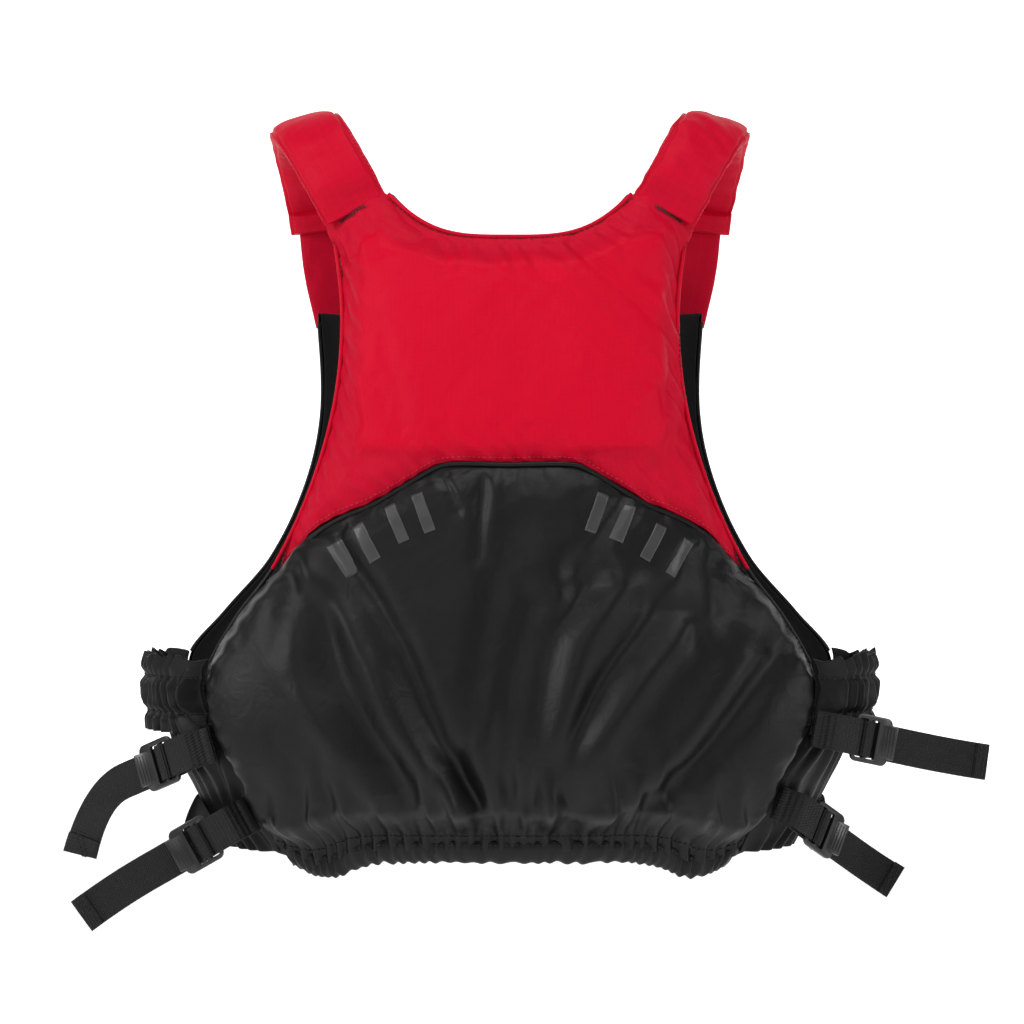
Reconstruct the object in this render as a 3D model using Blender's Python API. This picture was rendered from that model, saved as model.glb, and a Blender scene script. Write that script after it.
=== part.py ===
"""Buoyancy vest: a life jacket as an assembly of its sewn, padded and moulded pieces.

Metres, +Z up. The origin lies between the shoulder straps, where the vest rests on its wearer.
The back of the vest faces -Y, the zipped front faces +Y, and the wearer's left is at -X.
"""

import math

import bmesh
import bpy
from mathutils import Matrix, Vector

NAME = "life_jacket"
GAP = 0.0003

# Outer surface of the worn vest: half width and back depth at each height, and the straight front.
HALF_WIDTH = ((0.0, 0.150), (-0.135, 0.160), (-0.25, 0.192), (-0.36, 0.244), (-0.43, 0.244), (-0.515, 0.200))
BACK_DEPTH = ((0.0, 0.070), (-0.15, 0.098), (-0.36, 0.118), (-0.43, 0.122), (-0.515, 0.104))
FRONT_DEPTH = 0.105
ROUNDNESS = 2.5

# Edges of the back and front panels: height and half width down the arm hole and the side seam.
BACK_EDGE = (
    (-0.055, 0.131), (-0.077, 0.126), (-0.135, 0.118), (-0.196, 0.122), (-0.257, 0.139),
    (-0.311, 0.165), (-0.345, 0.191), (-0.386, 0.213), (-0.418, 0.207), (-0.462, 0.184), (-0.515, 0.160),
)
FRONT_EDGE = (
    (-0.120, 0.144), (-0.196, 0.141), (-0.250, 0.152), (-0.305, 0.178),
    (-0.345, 0.212), (-0.376, 0.236), (-0.420, 0.228), (-0.515, 0.178),
)

# Back outline: the neckline, the strap seams and the piped seam, across the panel from centre to edge.
NECK_CENTRE = -0.088
NECK_CORNER = -0.055
NECK_CORNER_SHARE = 0.675
NECK_CURVE = 3.5
STRAP_SEAM_OUTER = -0.077
PIPED_SEAM = (
    (0.0, -0.240), (0.33, -0.240), (0.42, -0.245), (0.66, -0.267), (0.85, -0.282), (1.0, -0.311),
)
PIPING_RADIUS = 0.0017
PIPING_GAP = 0.0024
BACK_COLUMNS = 16
HEM_TOP = -0.492
HEM_DIP = 0.012
HEM_DIP_AT = 0.84
HEM_DIP_WIDTH = 0.16

# The sandwich of shell, foam and lining, and how it closes at its edges.
CLOTH = 0.0012
SANDWICH = 0.030
FOAM_GAP = 0.003
EDGE_DROP = 0.010
SEAM_DROP = 0.004
EDGE_MARGIN = 0.026
BALLOON = 0.009

# Gathered hem and the side pieces.
CASING_HEIGHT = 0.015
CASING_DEPTH = 0.0065
CASING_GAP = 0.003
ELASTIC_THICKNESS = 0.0016
SIDE_BAND_TOP = -0.379
SIDE_BAND_BOTTOM = -0.420
SIDE_BAND_THICKNESS = 0.006
SIDE_BOTTOM = -0.505
SIDE_CLOTH = 0.003
SEAM_GAP = 0.004

# Shoulders, described for the wearer's right and mirrored for the left.
STRAP_ROUTE = (
    (0.1065, -0.0600, -0.0630), (0.1190, -0.0600, -0.0400), (0.1340, -0.0440, -0.0150),
    (0.1440, -0.0150, -0.0050), (0.1460, 0.0180, -0.0060), (0.1460, 0.0420, -0.0150),
    (0.1430, 0.0580, -0.0320), (0.1395, 0.0675, -0.0500),
)
STRAP_ACROSS = (
    (0.88, 0.10, -0.47), (0.88, 0.15, -0.47), (0.90, 0.22, -0.36), (0.96, 0.08, -0.22),
    (1.0, 0.0, -0.12), (1.0, 0.05, -0.02), (0.97, -0.10, 0.10), (0.93, -0.15, 0.18),
)
STRAP_HALF_WIDTH = 0.0235
STRAP_HALF_THICK = 0.0095
STRAP_END_SQUASH = 0.35
SEAM_SLIT = 0.06
PAD_HALF_WIDTH = 0.0195
PAD_HALF_THICK = 0.0060
CUFF_ROUTE = ((0.1390, 0.0692, -0.0535), (0.1379, 0.0724, -0.0635))
CUFF_ACROSS = ((0.93, -0.15, 0.18), (0.93, -0.15, 0.20))
CUFF_HALF_THICK = 0.0080
FRONT_STRAP_ROUTE = ((0.1370, 0.0744, -0.0705), (0.1345, 0.0775, -0.0950), (0.1270, 0.0815, -0.1275))
FRONT_STRAP_ACROSS = ((0.93, -0.15, 0.20), (0.95, -0.30, 0.12), (0.95, -0.38, 0.05))
FRONT_STRAP_WIDTH = 0.036
FRONT_STRAP_THICKNESS = 0.005

# Front panels.
FRONT_TOP_OUTER = -0.131
FRONT_TOP_INNER = -0.168
FRONT_TOP_SHARE = 0.62
FRONT_CENTRE = 0.009

# Edge bindings.
BINDING_RADIUS = 0.0016
BINDING_STEPS = 14
BACK_BINDING_SPAN = (-0.082, -0.372)
FRONT_BINDING_SPAN = (-0.136, -0.368)
BINDING_OFFSET = 0.0075

# Zip, with its slider and puller.
ZIP_TOP = -0.172
ZIP_BOTTOM = -0.4965
ZIP_TEETH_INNER = 0.0006
ZIP_TEETH_OUTER = 0.0026
ZIP_TEETH_THICKNESS = 0.0030
ZIP_TAPE_OUTER = 0.016
ZIP_TAPE_THICKNESS = 0.0007
ZIP_LEVEL = -0.01185
SLIDER_HALF_WIDTH = 0.0062
SLIDER_LENGTH = 0.016
SLIDER_PLATE = 0.0014
SLIDER_TOP = -0.1740
SLIDER_POST = 0.0006
EAR_THICKNESS = 0.0014
EAR_HEIGHT = 0.0050
PULL_PIN_RADIUS = 0.0008
PULL_PIN_LIFT = 0.0032
PULL_LENGTH = 0.026
PULL_WIDTH = 0.0052
PULL_THICKNESS = 0.0016
PULL_EYE_RADIUS = 0.0021
BOX_HEIGHT = 0.0075

# Webbing adjusters.
WEB_HALF = 0.0125
WEB_THICKNESS = 0.0016
STAND_OFF = 0.0125
LOOP_RADIUS = 0.0034
LOOP_STRAIGHT = 0.0145
LOOP_SEWN = 0.0088
BUCKLE_HALF_WIDTH = 0.0165
BUCKLE_THICKNESS = 0.0032
BUCKLE_START = -0.0015
BUCKLE_END = 0.0280
BUCKLE_CORNER = 0.0045
SLOT_CORNER = 0.001
SLOT_HALF_WIDTH = 0.0133
SLOTS = ((0.0015, 0.0075), (0.0105, 0.0170))
TAB_HALF_WIDTH = 0.0115
TAB_LENGTH = 0.012
TAB_THICKNESS = 0.0024
TAB_TILT = 0.35
TAIL_LEVEL = -0.0053
TAIL_START = -0.003
TAIL_STRAIGHT = 0.053
TAIL_HEM = 0.009
LOAD_LEVEL = -0.0088
LOAD_DROP = 0.003
LOAD_LIFT = 0.005
LOAD_LOWEST = -0.486
LOAD_START = 0.008

# One row for each adjuster: name, side, anchor height, loop length, slope, yaw, tail end, and its droop.
ADJUSTERS = (
    ("upper_left", -1, -0.431, 0.026, 0.36, 0.61, 0.113, (0.013, -0.020, -0.032)),
    ("lower_left", -1, -0.479, 0.026, 0.52, 0.17, 0.108, (0.0, -0.004, -0.004)),
    ("upper_right", 1, -0.420, 0.025, 0.21, 0.44, 0.112, (0.0, -0.010, 0.002)),
    ("lower_right", 1, -0.471, 0.026, 0.52, 0.70, 0.100, (0.0, -0.016, 0.002)),
)

RED_CLOTH = ("red_nylon", (0.70, 0.010, 0.035), 0.5)
BLACK_CLOTH = ("black_nylon", (0.020, 0.020, 0.021), 0.55)
BLACK_PLASTIC = ("black_plastic", (0.014, 0.014, 0.015), 0.35)
BLACK_WEBBING = ("black_webbing", (0.010, 0.010, 0.011), 0.8)
FOAM = ("buoyancy_foam", (0.55, 0.56, 0.55), 0.9)
LINING = ("black_lining", (0.030, 0.030, 0.032), 0.8)
ELASTIC = ("black_elastic", (0.020, 0.020, 0.020), 0.8)


def clear_scene():
    """Remove everything that a new scene starts with."""
    for item in list(bpy.data.objects):
        bpy.data.objects.remove(item)


def new_collection(name):
    """Make a collection in the scene."""
    collection = bpy.data.collections.new(name)
    bpy.context.scene.collection.children.link(collection)
    return collection


def smooth_step(value):
    """Ease a value from 0 to 1, clamped at both ends."""
    value = min(1.0, max(0.0, value))
    return value * value * (3.0 - 2.0 * value)


def profile(stations, where):
    """Read a smooth curve through (position, value) stations, in either direction."""
    points = sorted(stations)
    where = min(points[-1][0], max(points[0][0], where))
    last = len(points) - 1
    index = max(i for i in range(last) if points[i][0] <= where)
    (x0, y0), (x1, y1) = points[index], points[index + 1]
    before = points[max(0, index - 1)]
    after = points[min(last, index + 2)]
    slope0 = (y1 - before[1]) / (x1 - before[0])
    slope1 = (after[1] - y0) / (after[0] - x0)
    span = x1 - x0
    s = (where - x0) / span
    return (
        (2 * s**3 - 3 * s**2 + 1) * y0
        + (s**3 - 2 * s**2 + s) * span * slope0
        + (3 * s**2 - 2 * s**3) * y1
        + (s**3 - s**2) * span * slope1
    )


def body_point(angle, z, offset=0.0):
    """Point on the vest's outer surface: angle 0 is the middle of the back, pi the middle of the front."""
    width = profile(HALF_WIDTH, z) + offset
    sine, cosine = math.sin(angle), math.cos(angle)
    depth = (profile(BACK_DEPTH, z) if cosine > 0 else FRONT_DEPTH) + offset
    power = 2.0 / ROUNDNESS
    x = width * math.copysign(abs(sine) ** power, sine)
    y = -depth * math.copysign(abs(cosine) ** power, cosine)
    return Vector((x, y, z))


def back_angle(x, z):
    """Angle on the back of the vest at a distance x from its middle."""
    share = min(1.0, abs(x) / profile(HALF_WIDTH, z))
    return math.copysign(math.asin(share ** (ROUNDNESS / 2.0)), x)


def front_angle(x, z):
    """Angle on the front of the vest at a distance x from its middle, always counted from the back."""
    return math.copysign(math.pi, x) - back_angle(x, z)


def neckline(u):
    """Height of the back panel's top edge, u running from -1 to 1 across it."""
    share = abs(u)
    if share < NECK_CORNER_SHARE:
        rise = (share / NECK_CORNER_SHARE) ** NECK_CURVE
        return NECK_CENTRE + (NECK_CORNER - NECK_CENTRE) * rise
    out = (share - NECK_CORNER_SHARE) / (1.0 - NECK_CORNER_SHARE)
    return NECK_CORNER + (STRAP_SEAM_OUTER - NECK_CORNER) * out


def hem_line(u):
    """Height of the top of the back hem casing, which dips near its two ends."""
    return HEM_TOP - HEM_DIP * math.exp(-(((abs(u) - HEM_DIP_AT) / HEM_DIP_WIDTH) ** 2))


def piped_seam(u):
    """Height of the seam between the upper and the lower back panel."""
    return profile(PIPED_SEAM, abs(u))


def spread(share):
    """Crowd the grid lines of a panel towards its edges, share running from -1 to 1."""
    return math.sin(share * math.pi / 2.0)


def edge_ease(distance):
    """0 on a sewn edge and 1 inside the padded field."""
    return smooth_step(distance / EDGE_MARGIN)


def material(finish):
    """Make or reuse a plain material from a (name, colour, roughness) finish."""
    name, colour, roughness = finish
    if name in bpy.data.materials:
        return bpy.data.materials[name]
    made = bpy.data.materials.new(name)
    made.use_nodes = True
    shader = made.node_tree.nodes["Principled BSDF"]
    shader.inputs["Base Color"].default_value = (*colour, 1.0)
    shader.inputs["Roughness"].default_value = roughness
    shader.inputs["Metallic"].default_value = 0.0
    return made


def add_object(name, mesh, finish, collection):
    """Link a mesh as one named sub-part with its finish."""
    part = bpy.data.objects.new(name, mesh)
    mesh.materials.append(material(finish))
    mesh.shade_smooth()
    mesh.set_sharp_from_angle(angle=math.radians(35))
    collection.objects.link(part)
    return part


def slab(name, finish, columns, rows, place, collection):
    """A closed slab from a grid: place(u, v, w) puts u and v in -1..1, w 0 on its face and -1 behind."""
    bm = bmesh.new()
    bmesh.ops.create_grid(bm, x_segments=columns, y_segments=rows, size=1.0)
    grown = bmesh.ops.extrude_face_region(bm, geom=bm.faces[:], use_keep_orig=True)
    back = [item for item in grown["geom"] if isinstance(item, bmesh.types.BMVert)]
    bmesh.ops.translate(bm, verts=back, vec=(0.0, 0.0, -1.0))
    bmesh.ops.recalc_face_normals(bm, faces=bm.faces[:])
    for vert in bm.verts:
        vert.co = place(vert.co.x, vert.co.y, vert.co.z)
    if bm.calc_volume(signed=True) < 0.0:
        bmesh.ops.reverse_faces(bm, faces=bm.faces[:])
    mesh = bpy.data.meshes.new(name)
    bm.to_mesh(mesh)
    bm.free()
    return add_object(name, mesh, finish, collection)


def tube(name, finish, points, radius, collection):
    """A round cord through points, made a mesh with its caps welded."""
    curve = bpy.data.curves.new(name + "_curve", "CURVE")
    curve.dimensions = "3D"
    curve.bevel_depth = radius
    curve.bevel_resolution = 1
    curve.use_fill_caps = True
    spline = curve.splines.new("POLY")
    spline.points.add(len(points) - 1)
    for target, point in zip(spline.points, points):
        target.co = (*point, 1.0)
    return mesh_from_curve(name, finish, curve, Matrix.Identity(4), collection)


def mesh_from_curve(name, finish, curve, matrix, collection):
    """Turn a curve into a welded mesh object at a matrix."""
    holder = bpy.data.objects.new(name + "_holder", curve)
    bpy.context.scene.collection.objects.link(holder)
    bpy.context.view_layer.update()
    evaluated = holder.evaluated_get(bpy.context.evaluated_depsgraph_get())
    mesh = bpy.data.meshes.new_from_object(evaluated)
    bpy.data.objects.remove(holder)
    bm = bmesh.new()
    bm.from_mesh(mesh)
    bmesh.ops.remove_doubles(bm, verts=bm.verts[:], dist=0.00001)
    bmesh.ops.recalc_face_normals(bm, faces=bm.faces[:])
    bm.to_mesh(mesh)
    bm.free()
    mesh.name = name
    mesh.materials.clear()
    part = add_object(name, mesh, finish, collection)
    part.matrix_world = matrix
    return part


def box_mesh(name, low, high):
    """A box mesh between two corners."""
    bm = bmesh.new()
    bmesh.ops.create_cube(bm, size=1.0)
    for vert in bm.verts:
        vert.co = Vector([low[i] + (high[i] - low[i]) * (vert.co[i] + 0.5) for i in range(3)])
    mesh = bpy.data.meshes.new(name)
    bm.to_mesh(mesh)
    bm.free()
    return mesh


def cylinder_mesh(name, radius, low_x, high_x, centre_y, centre_z, segments):
    """A cylinder mesh that lies along X."""
    bm = bmesh.new()
    turn = Matrix.Rotation(math.pi / 2.0, 4, "Y")
    move = Matrix.Translation(((low_x + high_x) / 2.0, centre_y, centre_z))
    bmesh.ops.create_cone(
        bm, cap_ends=True, segments=segments, radius1=radius, radius2=radius,
        depth=high_x - low_x, matrix=move @ turn,
    )
    mesh = bpy.data.meshes.new(name)
    bm.to_mesh(mesh)
    bm.free()
    return mesh


def combine(part, mesh, operation, cutters):
    """Add or cut a mesh on a sub-part with an exact Boolean."""
    tool = bpy.data.objects.new(mesh.name, mesh)
    cutters.objects.link(tool)
    tool.hide_render = True
    tool.display_type = "WIRE"
    tool.matrix_world = part.matrix_world
    step = part.modifiers.new(mesh.name, "BOOLEAN")
    step.operation = operation
    step.solver = "EXACT"
    step.object = tool


def route_frames(route, across, steps):
    """Points, tangents and cross directions along a smooth curve through route points."""
    centre = [Vector(p) for p in route]
    sides = [Vector(p) for p in across]
    walked = [0.0]
    for before, after in zip(centre, centre[1:]):
        walked.append(walked[-1] + (after - before).length)
    shares = [distance / walked[-1] for distance in walked]
    frames = []
    for step in range(steps + 1):
        share = step / steps
        point = read_route(shares, centre, share)
        tangent = read_route(shares, centre, min(1.0, share + 0.01))
        tangent = (tangent - read_route(shares, centre, max(0.0, share - 0.01))).normalized()
        side = read_route(shares, sides, share)
        side = (side - tangent * side.dot(tangent)).normalized()
        frames.append((point, tangent, side))
    return frames


def read_route(shares, points, share):
    """Read a smooth three-dimensional curve at a share of its length."""
    return Vector([profile([(s, p[i]) for s, p in zip(shares, points)], share) for i in range(3)])


def frame_at(frames, v):
    """Point, tangent and side of a list of frames at v, running from -1 to 1."""
    place = (v + 1.0) / 2.0 * (len(frames) - 1)
    return frames[min(len(frames) - 1, max(0, round(place)))]


def mirrored(points):
    """Mirror a tuple of points to the wearer's left."""
    return tuple((-p[0], p[1], p[2]) for p in points)


def mirrored_across(points):
    """Mirror cross directions so that they still point the same way round the strap."""
    return tuple((p[0], -p[1], -p[2]) for p in points)


def back_place(top, bottom, outer_offset, inner_offset, u_low=-1.0, u_high=1.0, v_low=-1.0, v_high=1.0):
    """Make a place() for a back piece between two lines, its walls at two offsets from the surface."""

    def place(s, t, w):
        across = spread(s)
        u = u_low + (u_high - u_low) * (across + 1.0) / 2.0
        v = v_low + (v_high - v_low) * (spread(t) + 1.0) / 2.0
        z = bottom(u) + (top(u) - bottom(u)) * (v + 1.0) / 2.0
        x = u * profile(BACK_EDGE, z)
        offset = outer_offset(u, v, x, z) if w > -0.5 else inner_offset(u, v, x, z)
        return body_point(back_angle(x, z), z, offset)

    return place


def side_distance(u, z):
    """Distance from the nearest side edge of the back panel."""
    return (1.0 - abs(u)) * profile(BACK_EDGE, z)


def upper_offset(u, v, x, z):
    """Offset of the upper back shell's face."""
    ease = edge_ease(side_distance(u, z)) * edge_ease(neckline(u) - z)
    seam = edge_ease(z - piped_seam(u))
    return -EDGE_DROP * (1.0 - ease) - SEAM_DROP * (1.0 - seam)


def lower_offset(u, v, x, z):
    """Offset of the lower back shell's face, which balloons above the hem."""
    ease = edge_ease(side_distance(u, z)) * edge_ease(z - hem_line(u))
    seam = edge_ease(piped_seam(u) - z)
    balloon = BALLOON * smooth_step((piped_seam(u) - z) / 0.2)
    return balloon * ease - EDGE_DROP * (1.0 - ease) - SEAM_DROP * (1.0 - seam)


def lining_offset(u, v, x, z):
    """Offset of the lining's outer face."""
    ease = edge_ease(side_distance(u, z)) * edge_ease(neckline(u) - z) * edge_ease(z - hem_line(u))
    return -SANDWICH + CLOTH + (SANDWICH - EDGE_DROP - CLOTH * 2.0 - SEAM_DROP - GAP * 4.0) * (1.0 - ease)


def behind(offset, thickness):
    """The offset function of the wall behind a face."""
    return lambda u, v, x, z: offset(u, v, x, z) - thickness


def foam_inner(u, v, x, z):
    """Offset of the back of a foam slab."""
    return lining_offset(u, v, x, z) + FOAM_GAP


def build_back(parts):
    """Shells, foam and lining of the back."""
    slab("back_upper_shell", RED_CLOTH, BACK_COLUMNS, 8,
         back_place(neckline, lambda u: piped_seam(u) + PIPING_RADIUS + PIPING_GAP,
                    upper_offset, behind(upper_offset, CLOTH)), parts)
    slab("back_lower_shell", BLACK_CLOTH, BACK_COLUMNS, 9,
         back_place(lambda u: piped_seam(u) - PIPING_RADIUS - PIPING_GAP, hem_line,
                    lower_offset, behind(lower_offset, CLOTH)), parts)
    slab("back_lining", LINING, 12, 12,
         back_place(neckline, hem_line, lining_offset, behind(lining_offset, CLOTH)), parts)
    slab("back_upper_foam", FOAM, 8, 6,
         back_place(neckline, piped_seam, behind(upper_offset, CLOTH + FOAM_GAP), foam_inner,
                    -0.79, 0.79, -0.74, 0.70), parts)
    for side, low, high in (("left", -0.84, -0.02), ("right", 0.02, 0.84)):
        slab("back_lower_foam_" + side, FOAM, 5, 6,
             back_place(piped_seam, hem_line, behind(lower_offset, CLOTH + FOAM_GAP), foam_inner,
                        low, high, -0.76, 0.80), parts)


def build_piping(parts):
    """The round piping in the seam between the two back panels."""
    points = []
    for step in range(BACK_COLUMNS + 1):
        u = spread(2.0 * step / BACK_COLUMNS - 1.0)
        z = piped_seam(u)
        x = u * profile(BACK_EDGE, z)
        points.append(body_point(back_angle(x, z), z, -SEAM_DROP - EDGE_DROP * (1.0 - edge_ease(side_distance(u, z)))))
    tube("back_piping", BLACK_CLOTH, points, PIPING_RADIUS, parts)


def casing_place(angle_low, angle_high, top):
    """Make a place() for a hem casing: a folded strip whose U opens upwards around the elastic."""

    def place(s, t, w):
        angle = angle_low + (angle_high - angle_low) * (s + 1.0) / 2.0
        wall = CLOTH if w > -0.5 else 0.0
        turn = t * math.pi / 2.0
        half = CASING_DEPTH / 2.0 - (CLOTH - wall)
        reach = -math.cos(turn) * half
        level = math.sin(turn) * half
        lift = CASING_HEIGHT * smooth_step((abs(t) - 0.5) * 2.0)
        z = top(angle) - CASING_HEIGHT + reach + lift - GAP
        return body_point(angle, z, -EDGE_DROP - SEAM_DROP - level)

    return place


def build_hems(parts):
    """Gathered hem casings, and the elastic in the back one."""
    seam = back_angle(profile(BACK_EDGE, HEM_TOP), HEM_TOP) - 0.02
    start = front_angle(ZIP_TAPE_OUTER + CASING_GAP, HEM_TOP)
    front_seam = front_angle(profile(FRONT_EDGE, HEM_TOP), HEM_TOP) + 0.02

    def back_top(angle):
        return hem_line(body_point(angle, HEM_TOP).x / profile(BACK_EDGE, HEM_TOP)) - CASING_GAP

    def front_top(angle):
        return HEM_TOP - CASING_GAP

    def elastic_place(s, t, w):
        angle = seam * 0.985 * s
        z = back_top(angle) - CASING_HEIGHT * 0.55 + t * CASING_HEIGHT * 0.36
        return body_point(angle, z, -EDGE_DROP - SEAM_DROP + ELASTIC_THICKNESS * (w + 0.5))

    slab("back_hem_casing", BLACK_CLOTH, 18, 6, casing_place(-seam, seam, back_top), parts)
    slab("back_hem_elastic", ELASTIC, 18, 1, elastic_place, parts)
    slab("front_hem_casing_right", BLACK_CLOTH, 8, 6, casing_place(front_seam, start, front_top), parts)
    slab("front_hem_casing_left", BLACK_CLOTH, 8, 6, casing_place(-start, -front_seam, front_top), parts)


def front_top_line(u):
    """Height of a front panel's top edge, u running from the zip at -1 to the arm hole at 1."""
    share = (u + 1.0) / 2.0
    return FRONT_TOP_INNER + (FRONT_TOP_OUTER - FRONT_TOP_INNER) * smooth_step(share / FRONT_TOP_SHARE)


def front_ease(u, z, x):
    """0 on the sewn edges of a front panel and 1 inside its padded field."""
    near = min(abs(x) - FRONT_CENTRE, profile(FRONT_EDGE, z) - abs(x))
    return edge_ease(near) * edge_ease(front_top_line(u) - z) * edge_ease(z - HEM_TOP)


def front_shell_offset(u, z, x):
    """Offset of a front shell's face."""
    return -EDGE_DROP * (1.0 - front_ease(u, z, x))


def front_lining_offset(u, z, x):
    """Offset of a front lining's outer face."""
    closed = SANDWICH - EDGE_DROP - CLOTH * 2.0 - ZIP_TAPE_THICKNESS - GAP * 2.0
    return -SANDWICH + CLOTH + closed * (1.0 - front_ease(u, z, x))


def front_place(side, outer, inner, u_low=-1.0, u_high=1.0, v_low=-1.0, v_high=1.0):
    """Make a place() for a front piece on one side of the zip."""

    def place(s, t, w):
        u = u_low + (u_high - u_low) * (spread(-side * s) + 1.0) / 2.0
        v = v_low + (v_high - v_low) * (spread(t) + 1.0) / 2.0
        z = HEM_TOP + (front_top_line(u) - HEM_TOP) * (v + 1.0) / 2.0
        x = FRONT_CENTRE + (profile(FRONT_EDGE, z) - FRONT_CENTRE) * (u + 1.0) / 2.0
        offset = outer(u, z, x) if w > -0.5 else inner(u, z, x)
        return body_point(front_angle(side * x, z), z, offset)

    return place


def build_fronts(parts):
    """Shell, foam and lining of the two front panels."""
    for side, word in ((-1, "left"), (1, "right")):
        slab("front_shell_" + word, BLACK_CLOTH, 8, 9,
             front_place(side, front_shell_offset,
                         lambda u, z, x: front_shell_offset(u, z, x) - CLOTH), parts)
        slab("front_lining_" + word, LINING, 8, 9,
             front_place(side, front_lining_offset,
                         lambda u, z, x: front_lining_offset(u, z, x) - CLOTH), parts)
        slab("front_foam_" + word, FOAM, 4, 6,
             front_place(side, lambda u, z, x: front_shell_offset(u, z, x) - CLOTH - FOAM_GAP,
                         lambda u, z, x: front_lining_offset(u, z, x) + FOAM_GAP,
                         -0.70, 0.60, -0.80, 0.70), parts)


def build_sides(parts):
    """Ruched elastic bands under the arms, and the side panels below them."""

    def side_place(side, z_top, z_bottom, offset, thickness):
        def place(s, t, w):
            z = z_bottom + (z_top - z_bottom) * (t + 1.0) / 2.0
            start = back_angle(profile(BACK_EDGE, z) + SEAM_GAP, z)
            end = front_angle(profile(FRONT_EDGE, z) + SEAM_GAP, z)
            share = (side * s + 1.0) / 2.0
            return body_point(side * (start + (end - start) * share), z, offset + thickness * w)

        return place

    for side, word in ((-1, "left"), (1, "right")):
        slab("side_elastic_band_" + word, ELASTIC, 8, 2,
             side_place(side, SIDE_BAND_TOP, SIDE_BAND_BOTTOM, 0.0, SIDE_BAND_THICKNESS), parts)
        slab("side_panel_" + word, BLACK_CLOTH, 8, 5,
             side_place(side, SIDE_BAND_BOTTOM - GAP * 2.0, SIDE_BOTTOM, -0.003, SIDE_CLOTH), parts)


def sleeve_place(frames, half_width, half_thick, wall):
    """Make a place() for a flattened cloth sleeve that is open at its ends and along its seam."""

    def place(s, t, w):
        point, tangent, side = frame_at(frames, t)
        normal = side.cross(tangent)
        turn = s * (math.pi - SEAM_SLIT) + math.pi / 2.0
        inset = wall if w < -0.5 else 0.0
        squash = 1.0 - STRAP_END_SQUASH * smooth_step((abs(t) - 0.72) / 0.28)
        across = (half_width - inset) * math.copysign(abs(math.cos(turn)) ** 0.7, math.cos(turn))
        up = (half_thick * squash - inset) * math.copysign(abs(math.sin(turn)) ** 0.8, math.sin(turn))
        return point + side * across + normal * up

    return place


def strip_place(frames, half_width, thickness):
    """Make a place() for a flat strip along a list of frames."""

    def place(s, t, w):
        point, tangent, side = frame_at(frames, t)
        normal = side.cross(tangent)
        return point + side * half_width * s + normal * thickness * (w + 0.5)

    return place


def build_shoulders(parts):
    """Padded straps over the shoulders, their pads and cuffs, and the narrow front straps."""
    for word, routed, sided in (
        ("left", mirrored, mirrored_across),
        ("right", tuple, tuple),
    ):
        frames = route_frames(routed(STRAP_ROUTE), sided(STRAP_ACROSS), 12)
        slab("shoulder_strap_" + word, RED_CLOTH, 10, 12,
             sleeve_place(frames, STRAP_HALF_WIDTH, STRAP_HALF_THICK, CLOTH), parts)
        pad_frames = frames[1:12]
        slab("shoulder_pad_" + word, FOAM, 2, 10,
             strip_place(pad_frames, PAD_HALF_WIDTH * 0.8, PAD_HALF_THICK), parts)
        cuff = route_frames(routed(CUFF_ROUTE), sided(CUFF_ACROSS), 2)
        slab("strap_cuff_" + word, RED_CLOTH, 10, 2,
             sleeve_place(cuff, STRAP_HALF_WIDTH, CUFF_HALF_THICK, CLOTH), parts)
        front = route_frames(routed(FRONT_STRAP_ROUTE), sided(FRONT_STRAP_ACROSS), 6)
        slab("front_strap_" + word, RED_CLOTH, 2, 6,
             strip_place(front, FRONT_STRAP_WIDTH / 2.0, FRONT_STRAP_THICKNESS), parts)


def build_bindings(parts):
    """Bound edges of the neck and the arm holes."""

    def back_edge_point(u, z, out):
        x = u * (profile(BACK_EDGE, z) + out)
        return body_point(back_angle(x, z), z, -EDGE_DROP - CLOTH)

    neck = []
    for step in range(BINDING_STEPS + 1):
        u = NECK_CORNER_SHARE * 0.97 * (2.0 * step / BINDING_STEPS - 1.0)
        z = neckline(u) + BINDING_OFFSET
        x = u * profile(BACK_EDGE, neckline(u))
        neck.append(body_point(back_angle(x, z), z, -EDGE_DROP - CLOTH))
    tube("neck_binding", RED_CLOTH, neck, BINDING_RADIUS, parts)
    for side, word in ((-1, "left"), (1, "right")):
        back_line = []
        front_line = []
        for step in range(BINDING_STEPS + 1):
            share = step / BINDING_STEPS
            z = BACK_BINDING_SPAN[0] + (BACK_BINDING_SPAN[1] - BACK_BINDING_SPAN[0]) * share
            back_line.append(back_edge_point(side, z, BINDING_OFFSET))
            z = FRONT_BINDING_SPAN[0] + (FRONT_BINDING_SPAN[1] - FRONT_BINDING_SPAN[0]) * share
            x = side * (profile(FRONT_EDGE, z) + BINDING_OFFSET)
            front_line.append(body_point(front_angle(x, z), z, -EDGE_DROP - CLOTH))
        tube("armhole_binding_back_" + word, RED_CLOTH, back_line, BINDING_RADIUS, parts)
        tube("armhole_binding_front_" + word, BLACK_CLOTH, front_line, BINDING_RADIUS, parts)


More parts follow.
